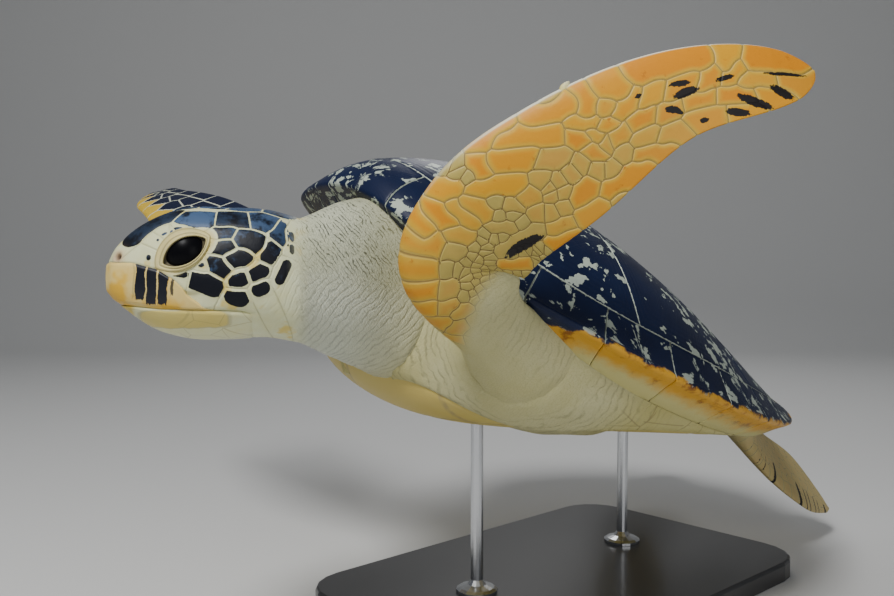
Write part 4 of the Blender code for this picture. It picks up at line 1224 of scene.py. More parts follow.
def arm_scales(length, sizes):
    """The large scales, small ones wherever no large one is near, and the upper side's rows.

    The small ones stand on a square grid, each shifted by chance by up to a third of its spacing.
    """
    rows = limb_rows(ARM_SCALES, length, sizes)
    starts, ends, ambers = rows[:, 0:2], rows[:, 2:4], rows[:, 4]
    spread = np.random.default_rng(5)
    for first, last, step, amber in SMALL_SCALES:
        along, over = np.meshgrid(np.arange(first * length, last * length, step),
                                  np.arange(-SMALL_SPAN, SMALL_SPAN, step), indexing="ij")
        shift = spread.uniform(-SMALL_SHIFT, SMALL_SHIFT, (along.size, 2)) * step
        small = np.stack([along, over], -1).reshape(-1, 2) + shift
        chord = through(sizes[0], sizes[1], small[:, 0] / length)
        near = np.linalg.norm(nearest_on(small[:, None], starts, ends) - small[:, None], axis=-1).min(1)
        small = small[(near > SMALL_ROOM * step) & (np.abs(small[:, 1]) < SMALL_WITHIN * chord)]
        starts, ends = np.concatenate([starts, small]), np.concatenate([ends, small])
        ambers = np.append(ambers, np.full(len(small), amber))
    # The upper side's scales carry a third coordinate that keeps them away from the under side
    upper, rich = [], []
    for across, amber in UPPER_ROWS:
        place = np.arange(UPPER_FROM, length, UPPER_STEP) + spread.uniform(-0.2, 0.2) * UPPER_STEP
        side = on_limb(np.clip(place / length, 0, 1), across, length, sizes)[1]
        upper.append(np.stack([place, side, np.full(len(place), UPPER_SIDE)], 1))
        rich.append(np.full(len(place), amber))
    upper = np.concatenate(upper)
    flat = np.zeros((len(starts), 1))
    starts = np.concatenate([np.hstack([starts, flat]), upper])
    ends = np.concatenate([np.hstack([ends, flat]), upper])
    return starts, ends, np.concatenate([ambers, *rich])


def spotted(flat, length, sizes):
    """1.5 in the middle of a flipper's black spots, 1 on their outlines and falling to 0 round them."""
    total = np.zeros(flat.shape[:-1])
    for *ends, half_width in limb_rows(ARM_SPOTS, length, sizes):
        start, end = np.array(ends[:2]), np.array(ends[2:])
        line = unit(end - start)
        off = flat[..., :2] - 0.5 * (start + end)
        half_length = 0.5 * np.linalg.norm(end - start) + half_width
        oval = np.hypot(off @ line / half_length, off @ (-line[1], line[0]) / half_width)
        total = np.maximum(total, 1.5 - 0.5 * oval)
    return np.clip(total, 0, 1.5)


# The root of a fore limb has few rings, up to here. Its scales rise over the skin, and fade in at a place
# that lies nearer the root on the leading edge
ARM_ROOT = 0.22
ARM_ROOT_ROWS = 12
ARM_SCALE_RISE = 0.0005
ARM_SCALES_FROM = 0.345
ARM_SCALES_LEAD = 0.07
ARM_SCALES_FADE = 0.025


def arm_part(path, leading, rows, columns, upper):
    """A fore limb with its scales: large ones along both edges and small ones between them.

    upper is 1 where the animal's upper side is the one at positive sin(turn), and 0 where it is the
    other.
    A third coordinate, UPPER_SIDE or 0, keeps the scales of the two sides apart.
    """
    turn = full_turn(columns)
    rest = tip_places(ARM_ROOT, 1, rows - ARM_ROOT_ROWS + 1)
    places = np.append(np.linspace(0, ARM_ROOT, ARM_ROOT_ROWS)[:-1], rest)
    rings, flat = limb_rings(path, leading, ARM_SIZES, places, turn, FOIL)
    length = flat[-1, 0, 0]
    starts, ends, ambers = arm_scales(length, ARM_SIZES)
    side = ease(-0.12, 0.12, np.sin(turn))
    over = np.broadcast_to(side * upper + (1 - side) * (1 - upper), flat.shape[:2])
    level = np.stack([flat[..., 0], flat[..., 1], np.where(over > 0.5, UPPER_SIDE, 0.0)], -1)
    edge, _ = cell_borders(level, starts, ends, np.full(len(starts), ALL_SCALES))
    place = np.broadcast_to(places[:, None], edge.shape)
    begin = ARM_SCALES_FROM - ARM_SCALES_LEAD * np.cos(turn)
    fade = ease(-ARM_SCALES_FADE, ARM_SCALES_FADE, place - begin)
    rings = rings + outward(rings) * (ARM_SCALE_RISE * ease(-0.0002, 0.0016, edge) * fade)[..., None]
    cells = (level, starts, ends, looks_of(len(starts), ambers, 0.0))
    return skin_part(rings, flat, cells, edge=ALL_SCALES, arm=fade, over=over, plates=LIMB_PLATES,
                     spots=spotted(flat, length, ARM_SIZES) * (1 - over),
                     rim=ease(0.955, 0.985, np.cos(turn)) * ease(0.42, 0.60, place),
                     fold=0.6 * ease(0.42, 0.30, place) * ease(0.5, -0.5, np.cos(turn)),
                     phase=0.7 * flat[..., 0] + 0.25 * flat[..., 1])


# Hind flippers: rings and points, and their scales' spacing, first place, half span and shift by chance; the
# dark marks' spacing and how much it varies; and how pale the rim is
HIND_ROWS = 64
HIND_COLUMNS = 44
HIND_STEP = 0.013
HIND_FROM = 0.04
HIND_SPAN = 0.045
HIND_SHIFT = 0.3
MARK_SPACING = 0.019
MARK_WANDER = 1.5
HIND_RIM = 0.20


def hind_part(mirror):
    """A hind flipper with even scales, and dark marks along its leading edge.

    The marks follow a sine along the limb whose phase wanders with noise.
    """
    turn = full_turn(HIND_COLUMNS)
    places = tip_places(0, 1, HIND_ROWS)
    path, leading = np.array(HIND_PATH) * (mirror, 1, 1), np.array(HIND_LEADING) * (mirror, 1, 1)
    rings, flat = limb_rings(path, leading, HIND_SIZES, places, turn, FOIL)
    spread = np.random.default_rng(7)
    along, over = np.meshgrid(np.arange(HIND_FROM, flat[-1, 0, 0], HIND_STEP),
                              np.arange(-HIND_SPAN, HIND_SPAN + 0.001, HIND_STEP), indexing="ij")
    seeds = np.stack([along, over, 0 * over], -1).reshape(-1, 3)
    seeds[:, :2] += spread.uniform(-HIND_SHIFT, HIND_SHIFT, (len(seeds), 2)) * HIND_STEP
    wander = MARK_WANDER * noise(flat * (1, 0, 0), 0.05)
    wave = np.sin(2 * math.pi * (flat[..., 0] / MARK_SPACING + wander))
    marks = ease(-0.10, 0.50, np.cos(turn)) * ease(0.25, 0.40, places)[:, None] * ease(0.0, 0.8, wave) * 1.3
    cells = (flat * (1, 1, 0), seeds, seeds, looks_of(len(seeds), 0.3, 0.0))
    return skin_part(rings, flat, cells, edge=ALL_SCALES, arm=ease(0.15, 0.4, places)[:, None], spots=marks,
                     rim=HIND_RIM, plates=LIMB_PLATES)


def tail_part():
    """A short round tail without scales."""
    turn = full_turn(28)
    places = np.linspace(0, 1, 30)
    rings, flat = limb_rings(TAIL_PATH, ((1.0, 0.0, 0.0),) * 3, TAIL_SIZES, places, turn, 0.0)
    return skin_part(rings, flat, plates=LIMB_PLATES)


# The eyelids: how thick they are over the ball and how fast the ribbon widens, more above the eye and ahead
# of it. Sizes below count 1 on the opening's edge: (middle, width, height) of the two rolls, and (middle,
# width, darkness) of the painted shade in the furrows between them
LID_THICKNESS = 0.0011
LID_SPREAD = 0.0064
LID_WIDER = (0.42, 0.22)
LID_OUTER = np.linspace(0.90, 2.15, 27)
LID_INNER = np.linspace(2.1, 0.95, 4)
LID_ROLLS = ((1.13, 0.12, 0.0009), (1.52, 0.17, 0.0007))
LID_FURROW_SHADE = ((1.32, 0.05, 1.0), (1.74, 0.06, 0.8))
# Its outer edge dips into the head and its inner edge towards the ball
LID_ENDS = ((1.72, 2.15, 0.0032), (1.03, 0.90, 0.0026))
LID_DEPTH = 0.004
LID_BLEND = 0.003
LID_POINTED = 0.45


def humps(at, rows):
    """The sum of rounded humps, each the exponential of minus the square of the distance in widths."""
    return sum(height * np.exp(-(((at - middle) / width) ** 2)) for middle, width, height in rows)


def lid_part(side):
    """The eyelids: a closed ribbon round the eye, from inside its opening out over the head.

    How far out a point lies = the higher of the ball grown by the lid's thickness and the head's
    own surface, joined smoothly, plus two rounded rolls that follow the opening.
    """
    turn = full_turn(120)
    size = np.concatenate([LID_OUTER, LID_INNER])[:, None]
    grow = LID_SPREAD * (size - 1) * (1 + LID_WIDER[0] * np.sin(turn) + LID_WIDER[1] * np.cos(turn))
    along = (EYE_HALF_LENGTH + grow) * np.cos(turn)
    across = (EYE_HALF_HEIGHT + grow) * np.sin(turn) * np.abs(np.sin(turn)) ** LID_POINTED
    forward = EYE_MIDDLE[0] + along * math.cos(EYE_TILT) + across * math.sin(EYE_TILT)
    up = EYE_MIDDLE[1] - along * math.sin(EYE_TILT) + across * math.cos(EYE_TILT)
    flat = np.hypot(forward - EYE_PLACE[0], up - EYE_PLACE[2])
    ball = EYE_PLACE[1] + np.sqrt(np.maximum((EYE_RADIUS + LID_THICKNESS) ** 2 - flat**2, 0))
    skin = head_half_width(forward, up)
    higher = 0.5 * (ball + skin + np.sqrt((ball - skin) ** 2 + LID_BLEND**2))
    out = higher + humps(size, LID_ROLLS) - sum(depth * ease(*ends, size) for *ends, depth in LID_ENDS)
    out[len(LID_OUTER):] -= LID_DEPTH
    local = np.stack([forward, side * out, up], -1)
    # Painted shade: black where the lid tucks in towards the ball and in the furrows between its rolls
    dark = np.maximum(0.9 * ease(1.03, 0.98, size), 0.55 * humps(size, LID_FURROW_SHADE)) + 0 * turn
    return skin_part(head_point(local), local, head=1.0, lid=1.0, dark=dark)


# Points worked on at once, and how far sideways the nearest point may lie
FILLET_BATCH = 1500
FILLET_SLACK = 0.012


def fillet(parts, pairs):
    """Rounds the crease where two parts of the skin run into each other.

    Where a point of one part lies a distance d from the other, with h = 1 - |d| / radius, it moves
    out by h^2 * radius / 4 along the mean of both normals. d is measured to the plane of the nearest
    point among every second ring's every third point.
    """
    normals = [outward(part["rings"]) for part in parts]
    shifts = [np.zeros_like(part["rings"]) for part in parts]
    for first, second, radius in pairs:
        for here, other in ((first, second), (second, first)):
            points = parts[here]["rings"].reshape(-1, 3)
            own = normals[here].reshape(-1, 3)
            there = parts[other]["rings"][::2, ::3].reshape(-1, 3)
            theirs = normals[other][::2, ::3].reshape(-1, 3)
            low, high = there.min(0) - radius, there.max(0) + radius
            near = np.flatnonzero(((points > low) & (points < high)).all(1))
            moved = np.zeros_like(points)
            for start in range(0, len(near), FILLET_BATCH):
                some = near[start:start + FILLET_BATCH]
                nearest = ((points[some, None] - there[None]) ** 2).sum(-1).argmin(1)
                away = ((points[some] - there[nearest]) * theirs[nearest]).sum(1)
                span = np.linalg.norm(points[some] - there[nearest], axis=1)
                share = np.clip(1 - np.maximum(np.abs(away), span - FILLET_SLACK) / radius, 0, 1)
                moved[some] = unit(own[some] + theirs[nearest]) * (share**2 * radius / 4)[:, None]
            shifts[here] += moved.reshape(shifts[here].shape)
    for part, shift in zip(parts, shifts):
        part["rings"] = part["rings"] + shift


FLESH_UNDER_SHELL = SCUTE_THICKNESS + 2 * GAP
SHELL_REACH = 0.04
# Shares of the shell's radius up to which flesh stays under the plates, and the dome's height is measured
PLATES_END = 0.97
PLAN_END = 0.999


def under_shell(rings):
    """Lowers every point that would stand out of the dome until it lies under the plates.

    A point's place in the shell's plan gives the dome's height there; only points within SHELL_REACH
    above it count, so that a raised limb stays where it is.
    """
    u = -rings[..., 1] / (0.5 * SHELL_LENGTH)
    v = rings[..., 0] / (SHELL_HALF_WIDTH * (1 + WIDER_FRONT * u))
    radius = np.hypot(u, v)
    scale = np.minimum(1, PLAN_END / np.maximum(radius, 1e-9))
    limit = shell_top(np.stack([u * scale, v * scale], -1))[..., 2] - FLESH_UNDER_SHELL
    above = rings[..., 2] - limit
    lower = (above > 0) & (above < SHELL_REACH) & (radius < PLATES_END)
    rings = rings.copy()
    rings[..., 2] = np.where(lower, limit, rings[..., 2])
    return rings


FLESH = ("trunk", "head", "neck", "upper_arm_left", "upper_arm_right", "fore_flipper_left",
         "fore_flipper_right", "hind_flipper_left", "hind_flipper_right", "tail")
# Parts that run into each other, by their order in make_skin, and the radius that rounds the crease
CREASES = ((0, 1, 0.04), (0, 2, 0.045), (0, 3, 0.05), (1, 2, 0.04), (1, 3, 0.04), (0, 4, 0.03), (0, 5, 0.03),
           (0, 6, 0.03))


def make_skin():
    """Trunk, head with neck, limbs, tail and eyelids as one skin, joined where they run into each other."""
    parts = [trunk_part(), head_part(),
             arm_part(NEAR_ARM, NEAR_LEADING, 270, 92, 0.0), arm_part(FAR_ARM, FAR_LEADING, 110, 48, 1.0),
             hind_part(1), hind_part(-1), tail_part()]
    fillet(parts, CREASES)
    for part in (parts[0], *parts[2:]):
        part["rings"] = under_shell(part["rings"])
    parts += [lid_part(1), lid_part(-1)]
    points, faces, values, corners, total = [], [], {}, {}, 0
    for part in parts:
        here, groups = tube(part["rings"])
        points.append(here)
        faces += [group + total for group in groups]
        total += len(here)
        for key, value in {**part["values"], "grain": part["grain"]}.items():
            values.setdefault(key, []).append(with_ends(value))
        for key, value in part_corners(part["cells"], groups).items():
            corners.setdefault(key, []).append(value)
    values = {key: np.concatenate(value) for key, value in values.items()}
    corners = {key: np.concatenate(value) for key, value in corners.items()}
    piece("skin", to_row(np.concatenate(points)), faces, skin_finish(), values, FLESH, corners)


def with_ends(value):
    """A row for each point of a tube: the rings' values, then those of the middles of its two ends."""
    return np.concatenate([value.reshape(-1, *value.shape[2:]), [value[0].mean(0), value[-1].mean(0)]])


FAR_FROM_BORDERS = 0.05


def part_corners(cells, groups):
    """The corner values of a part's quads. Its fans, and parts without scales, lie far from any border."""
    loops = sum(group.size for group in groups[1:])
    if cells is None:
        loops += groups[0].size
        made = {key: np.zeros((0, 3)) for key in ("seam", "first", "second")}
    else:
        places, starts, ends, looks = cells
        made = corner_cells(places.reshape(-1, 3)[groups[0]], starts, ends, looks)
        made = {key: value.reshape(-1, 3) for key, value in made.items()}
    return {key: np.vstack([value, np.full((loops, 3), FAR_FROM_BORDERS if key == "seam" else 0.0)])
            for key, value in made.items()}


# Colours of the plain skin, the belly's side, the head and the flippers
PLAIN_SKIN = ((0.44, 0.45, 0.28), (0.60, 0.62, 0.50))
NAPE_LINES = (0.030, 0.036, 0.028)
FURROW_SHADE = (0.20, 0.20, 0.13)
FINE_CRACKS = (0.16, 0.18, 0.11)
FOLDED_SKIN = (0.64, 0.68, 0.62)
BELLY_SKIN = ((0.44, 0.38, 0.11), (0.53, 0.50, 0.25))
BELLY_FURROW_SHADE = (0.22, 0.20, 0.08)
BELLY_SEAMS = (0.24, 0.19, 0.07)
# The head's navy runs to a lighter blue, which also serves as painted highlight on the top of the head
HEAD_NAVY = ((0.001, 0.002, 0.006), (0.045, 0.085, 0.165))
HEAD_CREAM = ((0.62, 0.67, 0.48), (0.60, 0.57, 0.26))
HEAD_OCHRE = (0.62, 0.50, 0.15)
HEAD_HAIRLINES = (0.25, 0.23, 0.11)
EYELIDS = ((0.62, 0.50, 0.17), (0.54, 0.50, 0.27))
NOSTRIL_SKIN = (0.50, 0.33, 0.20)
GOLD = ((0.58, 0.21, 0.002), (0.60, 0.29, 0.008))
GOLD_EDGES = (0.56, 0.33, 0.025)
GOLD_STAINS = (0.45, 0.15, 0.004)
OLIVE = ((0.30, 0.25, 0.07), (0.48, 0.36, 0.08))
PALE_EDGES = (0.50, 0.40, 0.13)
DARK_SEAMS = ((0.15, 0.10, 0.028), (0.27, 0.18, 0.050))
PALE_RIM = (0.70, 0.70, 0.55)
BLACK_SPOTS = (0.010, 0.008, 0.008)
UPPER_SCALES = ((0.004, 0.008, 0.030), (0.60, 0.40, 0.035))
UPPER_SEAMS = (0.60, 0.62, 0.48)
# Black painted as shade in the nostrils and in the eyelids' creases
PAINTED_SHADE_BLACK = (0.015, 0.010, 0.010)
# The nape's lines: their spacing, and how steeply they run; the folds' spacing; and the cracks of the fine
# skin, as cells to the metre along, across and up a turned frame
NAPE_SPACING = 0.0031
NAPE_RUN = (0.68, -0.73)
FOLD_SPACING = 0.0048
CRACKS_TURN = math.radians(-38)
CRACKS = (620.0, 420.0, 190.0)


def skin_values(tree):
    """What the parts of the skin's finish share: the stored values, the nearest seam and common noise.

    On the near side of the first border the scale's own look counts, on the far side its neighbour's.
    """
    made = SimpleNamespace(**{key: named(tree, key) for key in SKIN_MASKS}, here=place_of(tree))
    near, next_, _ = parts_of(tree, named(tree, "seam", True))
    ours = rise(tree, near, -0.00001, 0.00001)
    looks = blend(tree, ours, named(tree, "second", True), named(tree, "first", True))
    made.tone, made.amber, made.pale = parts_of(tree, looks)
    made.seam = maths(tree, "MINIMUM", maths(tree, "ABSOLUTE", near), maths(tree, "ABSOLUTE", next_))
    made.ragged = cloud(tree, made.here, 420, 4, 0.6)
    made.wear = cloud(tree, made.here, 75, 4, 0.65)
    made.grain = named(tree, "grain", True)
    made.forward, _, made.up = parts_of(tree, made.grain)
    bent = plus(tree, made.phase, product(tree, cloud(tree, made.here, 35, 3, 0.6), 0.016))
    made.waves = maths(tree, "SINE", product(tree, bent, 2 * math.pi / FOLD_SPACING))
    made.cracks = cells(tree, stretched(tree, turned(tree, made.grain, CRACKS_TURN), CRACKS))
    return made


def plain_skin(tree, skin):
    """Pale skin, with fine broken lines on the nape, folds below it with painted shade in their furrows, and
    the belly's yellow.
    """
    patches = cloud(tree, skin.here, 22, 4, 0.6)
    slant = plus(tree, product(tree, skin.up, NAPE_RUN[0]), product(tree, skin.forward, NAPE_RUN[1]))
    sway = plus(tree, slant, product(tree, cloud(tree, skin.here, 60, 3, 0.6), 0.012))
    stripes = rise(tree, maths(tree, "SINE", product(tree, sway, 2 * math.pi / NAPE_SPACING)), 0.45, 0.90)
    broken = rise(tree, cloud(tree, skin.here, 150, 3, 0.6), 0.42, 0.56)
    base = blend(tree, patches, *PLAIN_SKIN)
    base = blend(tree, product(tree, stripes, broken, skin.nape, 0.85), base, NAPE_LINES)
    # Painted shade: the folds' furrows, where the bump sinks, darken in patches
    furrow_shade = product(tree, rise(tree, skin.waves, 0.50, 0.97), rise(tree, skin.wear, 0.36, 0.60), skin.fold)
    base = blend(tree, product(tree, furrow_shade, 0.70), base, FURROW_SHADE)
    base = blend(tree, product(tree, rise(tree, skin.cracks, 0.10, 0.01), 0.30), base, FINE_CRACKS)
    base = blend(tree, product(tree, skin.fold, 0.35), base, FOLDED_SKIN)
    belly_side = blend(tree, patches, *BELLY_SKIN)
    belly_side = blend(tree, product(tree, furrow_shade, 0.5), belly_side, BELLY_FURROW_SHADE)
    line = product(tree, rise(tree, skin.seam, 0.0009, 0.0003), rise(tree, skin.plates, 0.80, 0.95), 0.6)
    belly_side = blend(tree, line, belly_side, BELLY_SEAMS)
    return blend(tree, skin.plates, base, belly_side)


def head_skin(tree, skin):
    """Navy scales with ragged borders of greenish cream, ochre eyelids and the nostril's rim.

    A border is where the least of the distances to the seam and to the end of the scale's reach,
    less the width of the scale's pale border, is small.
    """
    border = maths(tree, "SUBTRACT", maths(tree, "MINIMUM", skin.seam, skin.edge), skin.pale)
    border = plus(tree, border, product(tree, skin.ragged, 0.0008))
    # Painted highlight: the navy turns lighter blue towards the top of the head; the wear noise adds random
    # lighter scales
    worn_and_top_highlight = rise(tree, plus(tree, skin.wear, product(tree, skin.up, 6.0)), 0.56, 0.78)
    navy = blend(tree, product(tree, worn_and_top_highlight, plus(tree, skin.tone, 0.25)), *HEAD_NAVY)
    cream = blend(tree, skin.wear, *HEAD_CREAM)
    cream = blend(tree, rise(tree, cloud(tree, skin.here, 48, 3, 0.6), 0.54, 0.66), cream, HEAD_OCHRE)
    outside = rise(tree, skin.edge, -0.0010, -0.0030)
    hairline = product(tree, rise(tree, skin.seam, 0.0006, 0.0002), outside, 0.35)
    cream = blend(tree, hairline, cream, HEAD_HAIRLINES)
    made = blend(tree, rise(tree, border, 0.0007, 0.0011), cream, navy)
    made = blend(tree, skin.lid, made, blend(tree, cloud(tree, skin.here, 160, 3), *EYELIDS))
    return blend(tree, product(tree, skin.rim, rise(tree, skin.arm, 0.5, 0.4)), made, NOSTRIL_SKIN)


def flipper_skin(tree, skin):
    """Amber scales with thin dark seams underneath, and navy ones with cream borders above."""
    gold = blend(tree, skin.tone, *GOLD)
    gold = blend(tree, rise(tree, skin.seam, 0.0042, 0.0008), gold, GOLD_EDGES)
    gold = blend(tree, rise(tree, cloud(tree, skin.here, 130, 4, 0.7), 0.60, 0.74), gold, GOLD_STAINS)
    under = blend(tree, rise(tree, skin.amber, 0.10, 0.75), blend(tree, skin.wear, *OLIVE), gold)
    under = blend(tree, product(tree, rise(tree, skin.seam, 0.0012, 0.0006), 0.4), under, PALE_EDGES)
    seams = blend(tree, rise(tree, skin.amber, 0.3, 0.6), *DARK_SEAMS)
    under = blend(tree, rise(tree, skin.seam, 0.00040, 0.00022), under, seams)
    under = blend(tree, skin.rim, under, PALE_RIM)
    spots = rise(tree, plus(tree, skin.spots, product(tree, skin.ragged, 0.45)), 1.20, 1.25)
    under = blend(tree, spots, under, BLACK_SPOTS)
    open_seam = plus(tree, skin.seam, product(tree, skin.ragged, 0.0012))
    upper = blend(tree, skin.amber, *UPPER_SCALES)
    upper = blend(tree, rise(tree, open_seam, 0.0012, 0.0018), UPPER_SEAMS, upper)
    return blend(tree, skin.over, under, upper)


def skin_finish():
    """The plain skin, the head's and the flippers', each where its mask says, and their fine relief."""
    made, tree, shader = finish_of("skin", 0.50, 0.0, shine=0.25)
    skin = skin_values(tree)
    colour = blend(tree, skin.head, plain_skin(tree, skin), head_skin(tree, skin))
    colour = blend(tree, skin.arm, colour, flipper_skin(tree, skin))
    # Painted shade: black in the nostrils, in the eyelids' furrows and where the lids tuck in towards the
    # ball
    colour = blend(tree, skin.dark, colour, PAINTED_SHADE_BLACK)
    scaled = maths(tree, "MAXIMUM", skin.head, skin.arm)
    bare = maths(tree, "SUBTRACT", 1.0, scaled)
    height = plus(tree, product(tree, rise(tree, skin.seam, 0.0, 0.0012), scaled),
                  product(tree, rise(tree, skin.cracks, 0.0, 0.12), bare, 0.5),
                  product(tree, cloud(tree, skin.here, 240, 3), 0.5),
                  product(tree, rise(tree, skin.waves, 1.0, 0.2), skin.fold))
    surface(tree, shader, colour, height, 0.0006, 0.7)
    return made


# ---------------------------------------------------------------- beak, jaw, eyes and claws


# Horn: how thick it is, how far the beak and the jaw stand out of the head, and how far each one's edges are
# rounded down, over what width
HORN_THICKNESS = 0.003
BEAK_PROUD = 0.0006
BEAK_ROUNDING = (0.0016, 0.0016)
JAW_PROUD = 0.0003
JAW_ROUNDING = (0.0020, 0.0018)
# No ray that looks for the head's surface is longer than this, and it is found by halving this often
LONGEST_RAY = 0.075
HALVINGS = 28
# The beak's slices turn about an upright axis at this place. Their rear ends lean forward towards the top
BEAK_AXIS = 0.016
BEAK_REAR_END = -0.0062
BEAK_LEAN = 0.0145
BEAK_ARM = 0.040
BEAK_HEIGHT = 0.016
HORN_LENGTH = 0.05
JAW_ENDS = (-0.0410, 0.0556)
JAW_TURN = math.radians(91)
JAW_GAP = 0.0006


def reach_of(inside, shape):
    """How far each ray gets before it leaves the head, by halving. inside says which points are in it."""
    low, high = np.zeros(shape), np.full(shape, LONGEST_RAY)
    for _ in range(HALVINGS):
        middle = 0.5 * (low + high)
        found = inside(middle)
        low, high = np.where(found, middle, low), np.where(found, high, middle)
    return low


def in_head(local):
    """Whether points lie inside the head's sections."""
    forward, side, up = np.moveaxis(local, -1, 0)
    inside = (np.abs(side) < head_half_width(forward, up)) & (up > head_size(forward)[2])
    return inside & (forward < HEAD_STATIONS[-1])


def horn_piece(name, node, place, border, proud, rounding, finish):
    """A shell of horn on the head: its outer face, rounded down at its borders, and its inner face.

    place gives the points at a reach along each ray, and border the distance to the nearest edge.
    """
    reach = reach_of(lambda middle: in_head(place(middle)), border.shape)
    lift = proud - rounding[0] * (1 - ease(0.0, rounding[1], border))
    outer, inner = (place(np.maximum(reach + extra, 0.0)) for extra in (lift, lift - HORN_THICKNESS))
    local, faces = tube(np.concatenate([outer, inner[:, ::-1]], axis=1))
    piece(name, to_row(head_point(local)), faces, finish, {"local": local}, (node,))


def make_beak(finish):
    """The upper beak: slices round the snout, each found where a ray from inside meets the head.

    A slice at share q keeps up = mouth + q * (beak top - mouth) while it turns about the axis.
    """
    rows, columns = 46, 150
    share = np.linspace(0, 1, rows)[:, None]
    turn = np.linspace(-1, 1, columns)
    rear = BEAK_REAR_END + BEAK_LEAN * share
    heading = turn * (math.pi / 2 + np.arcsin(np.clip((BEAK_AXIS - rear) / BEAK_ARM, -1, 1)))

    def place(reach):
        """The points of the slices at this reach from the axis."""
        forward = BEAK_AXIS + reach * np.cos(heading)
        mouth = mouth_height(forward)
        up = mouth + share * (height_of(BEAK_TOP, forward) - mouth)
        return np.stack([forward, reach * np.sin(heading), up], -1)

    border = np.minimum(np.minimum(share, 1 - share) * BEAK_HEIGHT, (1 - np.abs(turn)) * HORN_LENGTH)
    horn_piece("upper_beak", "beak_upper", place, border, BEAK_PROUD, BEAK_ROUNDING, finish)


def make_jaw(finish):
    """The lower jaw: sections below the mouth line, each found by rays that turn about that line."""
    rows, columns = 90, 96
    ends = np.sin(np.linspace(0, math.pi / 2, rows)) ** HEAD_CROWDING
    forward = (JAW_ENDS[0] + (JAW_ENDS[1] - JAW_ENDS[0]) * ends)[:, None] + np.zeros(columns)
    turn = np.linspace(-1, 1, columns)
    heading = turn * JAW_TURN
    mouth = mouth_height(forward) - JAW_GAP

    def place(reach):
        """The points of the sections at this reach from the mouth's line."""
        return np.stack([forward, reach * np.sin(heading), mouth - reach * np.cos(heading)], -1)

    border = np.minimum((1 - np.abs(turn)) * HORN_LENGTH, (forward - JAW_ENDS[0]) * 0.5)
    horn_piece("lower_jaw", "jaw_lower", place, border, JAW_PROUD, JAW_ROUNDING, finish)


# Streaks of the upper beak: (front, rear, lower end, strength). Beak and claws are clouded with the second of
# their two colours. The jaw's yellow patch is a rounded square: (middle, half its size) ahead and up
STREAKS = ((0.0463, 0.0443, -0.0225, 0.25), (0.0443, 0.0366, -0.0235, 1.0), (0.0360, 0.0286, -0.0268, 1.0),
           (0.0278, 0.0202, -0.0272, 1.0), (0.0188, 0.0166, -0.0210, 0.9))
STREAK_BLACK = (0.005, 0.006, 0.012)
BEAK_HORN = ((0.66, 0.50, 0.17), (0.64, 0.37, 0.025))
CLAW_HORN = ((0.66, 0.62, 0.36), (0.70, 0.60, 0.20))
JAW_YELLOW = (0.58, 0.44, 0.07)
JAW_CREAM = ((0.62, 0.66, 0.46), (0.60, 0.56, 0.24))
JAW_LINES = (0.25, 0.20, 0.08)
PATCH_AHEAD = (0.009, 0.031)
PATCH_UP = (-0.0345, 0.0062)


def horn_finish(name, colour_of):
    """Horn with a colour of its own, which colour_of works out from the points' places round the head."""
    made, tree, shader = finish_of(name, 0.42, 0.0, shine=0.35)
    colour = colour_of(tree, named(tree, "local", True))
    surface(tree, shader, colour, cloud(tree, place_of(tree), 240, 3), 0.0003, 0.6)
    return made


def claw_colour(tree, local, pair=CLAW_HORN):
    """Pale horn clouded with yellow."""
    return blend(tree, rise(tree, cloud(tree, local, 34, 3, 0.6), 0.42, 0.60), *pair)


def beak_colour(tree, local):
    """Yellow with upright black streaks, whose edges and lower ends are ragged."""
    forward, _, up = parts_of(tree, local)
    wavy = product(tree, cloud(tree, stretched(tree, local, (120.0, 0.0, 80.0)), 1.0, 4, 0.65), 0.0050)
    across = plus(tree, forward, wavy, product(tree, up, 0.06))
    length = cloud(tree, stretched(tree, local, (520.0, 0.0, 0.0)), 1.0, 3, 0.7)
    low_end = maths(tree, "SUBTRACT", up, product(tree, length, 0.008))
    colour = claw_colour(tree, local, BEAK_HORN)
    for front, rear, end, strength in STREAKS:
        band = product(tree, rise(tree, across, front, front - 0.0005),
                       rise(tree, across, rear, rear + 0.0005),
                       rise(tree, low_end, end - 0.0045, end - 0.0038), strength)
        colour = blend(tree, band, colour, STREAK_BLACK)
    return colour


def jaw_colour(tree, local):
    """Cream with a yellow patch on its side, a yellow front and faint lines.

    The patch ends where the sum of the fourth powers of its two places, in half sizes, reaches 1.
    """
    forward, _, up = parts_of(tree, local)
    patch = cloud(tree, local, 34, 3, 0.6)
    wavy = plus(tree, up, product(tree, patch, 0.006))
    powers = [maths(tree, "POWER", maths(tree, "DIVIDE", maths(tree, "SUBTRACT", place, middle), size), 4.0)
              for place, (middle, size) in ((forward, PATCH_AHEAD), (wavy, PATCH_UP))]
    square = plus(tree, *powers)
    yellow = product(tree, rise(tree, square, 1.25, 0.85), 0.75)
    front = rise(tree, plus(tree, forward, product(tree, patch, 0.01)), 0.047, 0.052)
    colour = blend(tree, cloud(tree, place_of(tree), 75, 4, 0.65), *JAW_CREAM)
    colour = blend(tree, maths(tree, "MAXIMUM", yellow, front), colour, JAW_YELLOW)
    crease = product(tree, rise(tree, square, 1.6, 1.25), rise(tree, square, 0.85, 1.05), 0.35)
    seams = rise(tree, cells(tree, stretched(tree, local, (52.0, 40.0, 95.0))), 0.030, 0.010)
    lines = product(tree, seams, rise(tree, forward, 0.020, 0.005), 0.35)
    return blend(tree, maths(tree, "MAXIMUM", crease, lines), colour, JAW_LINES)


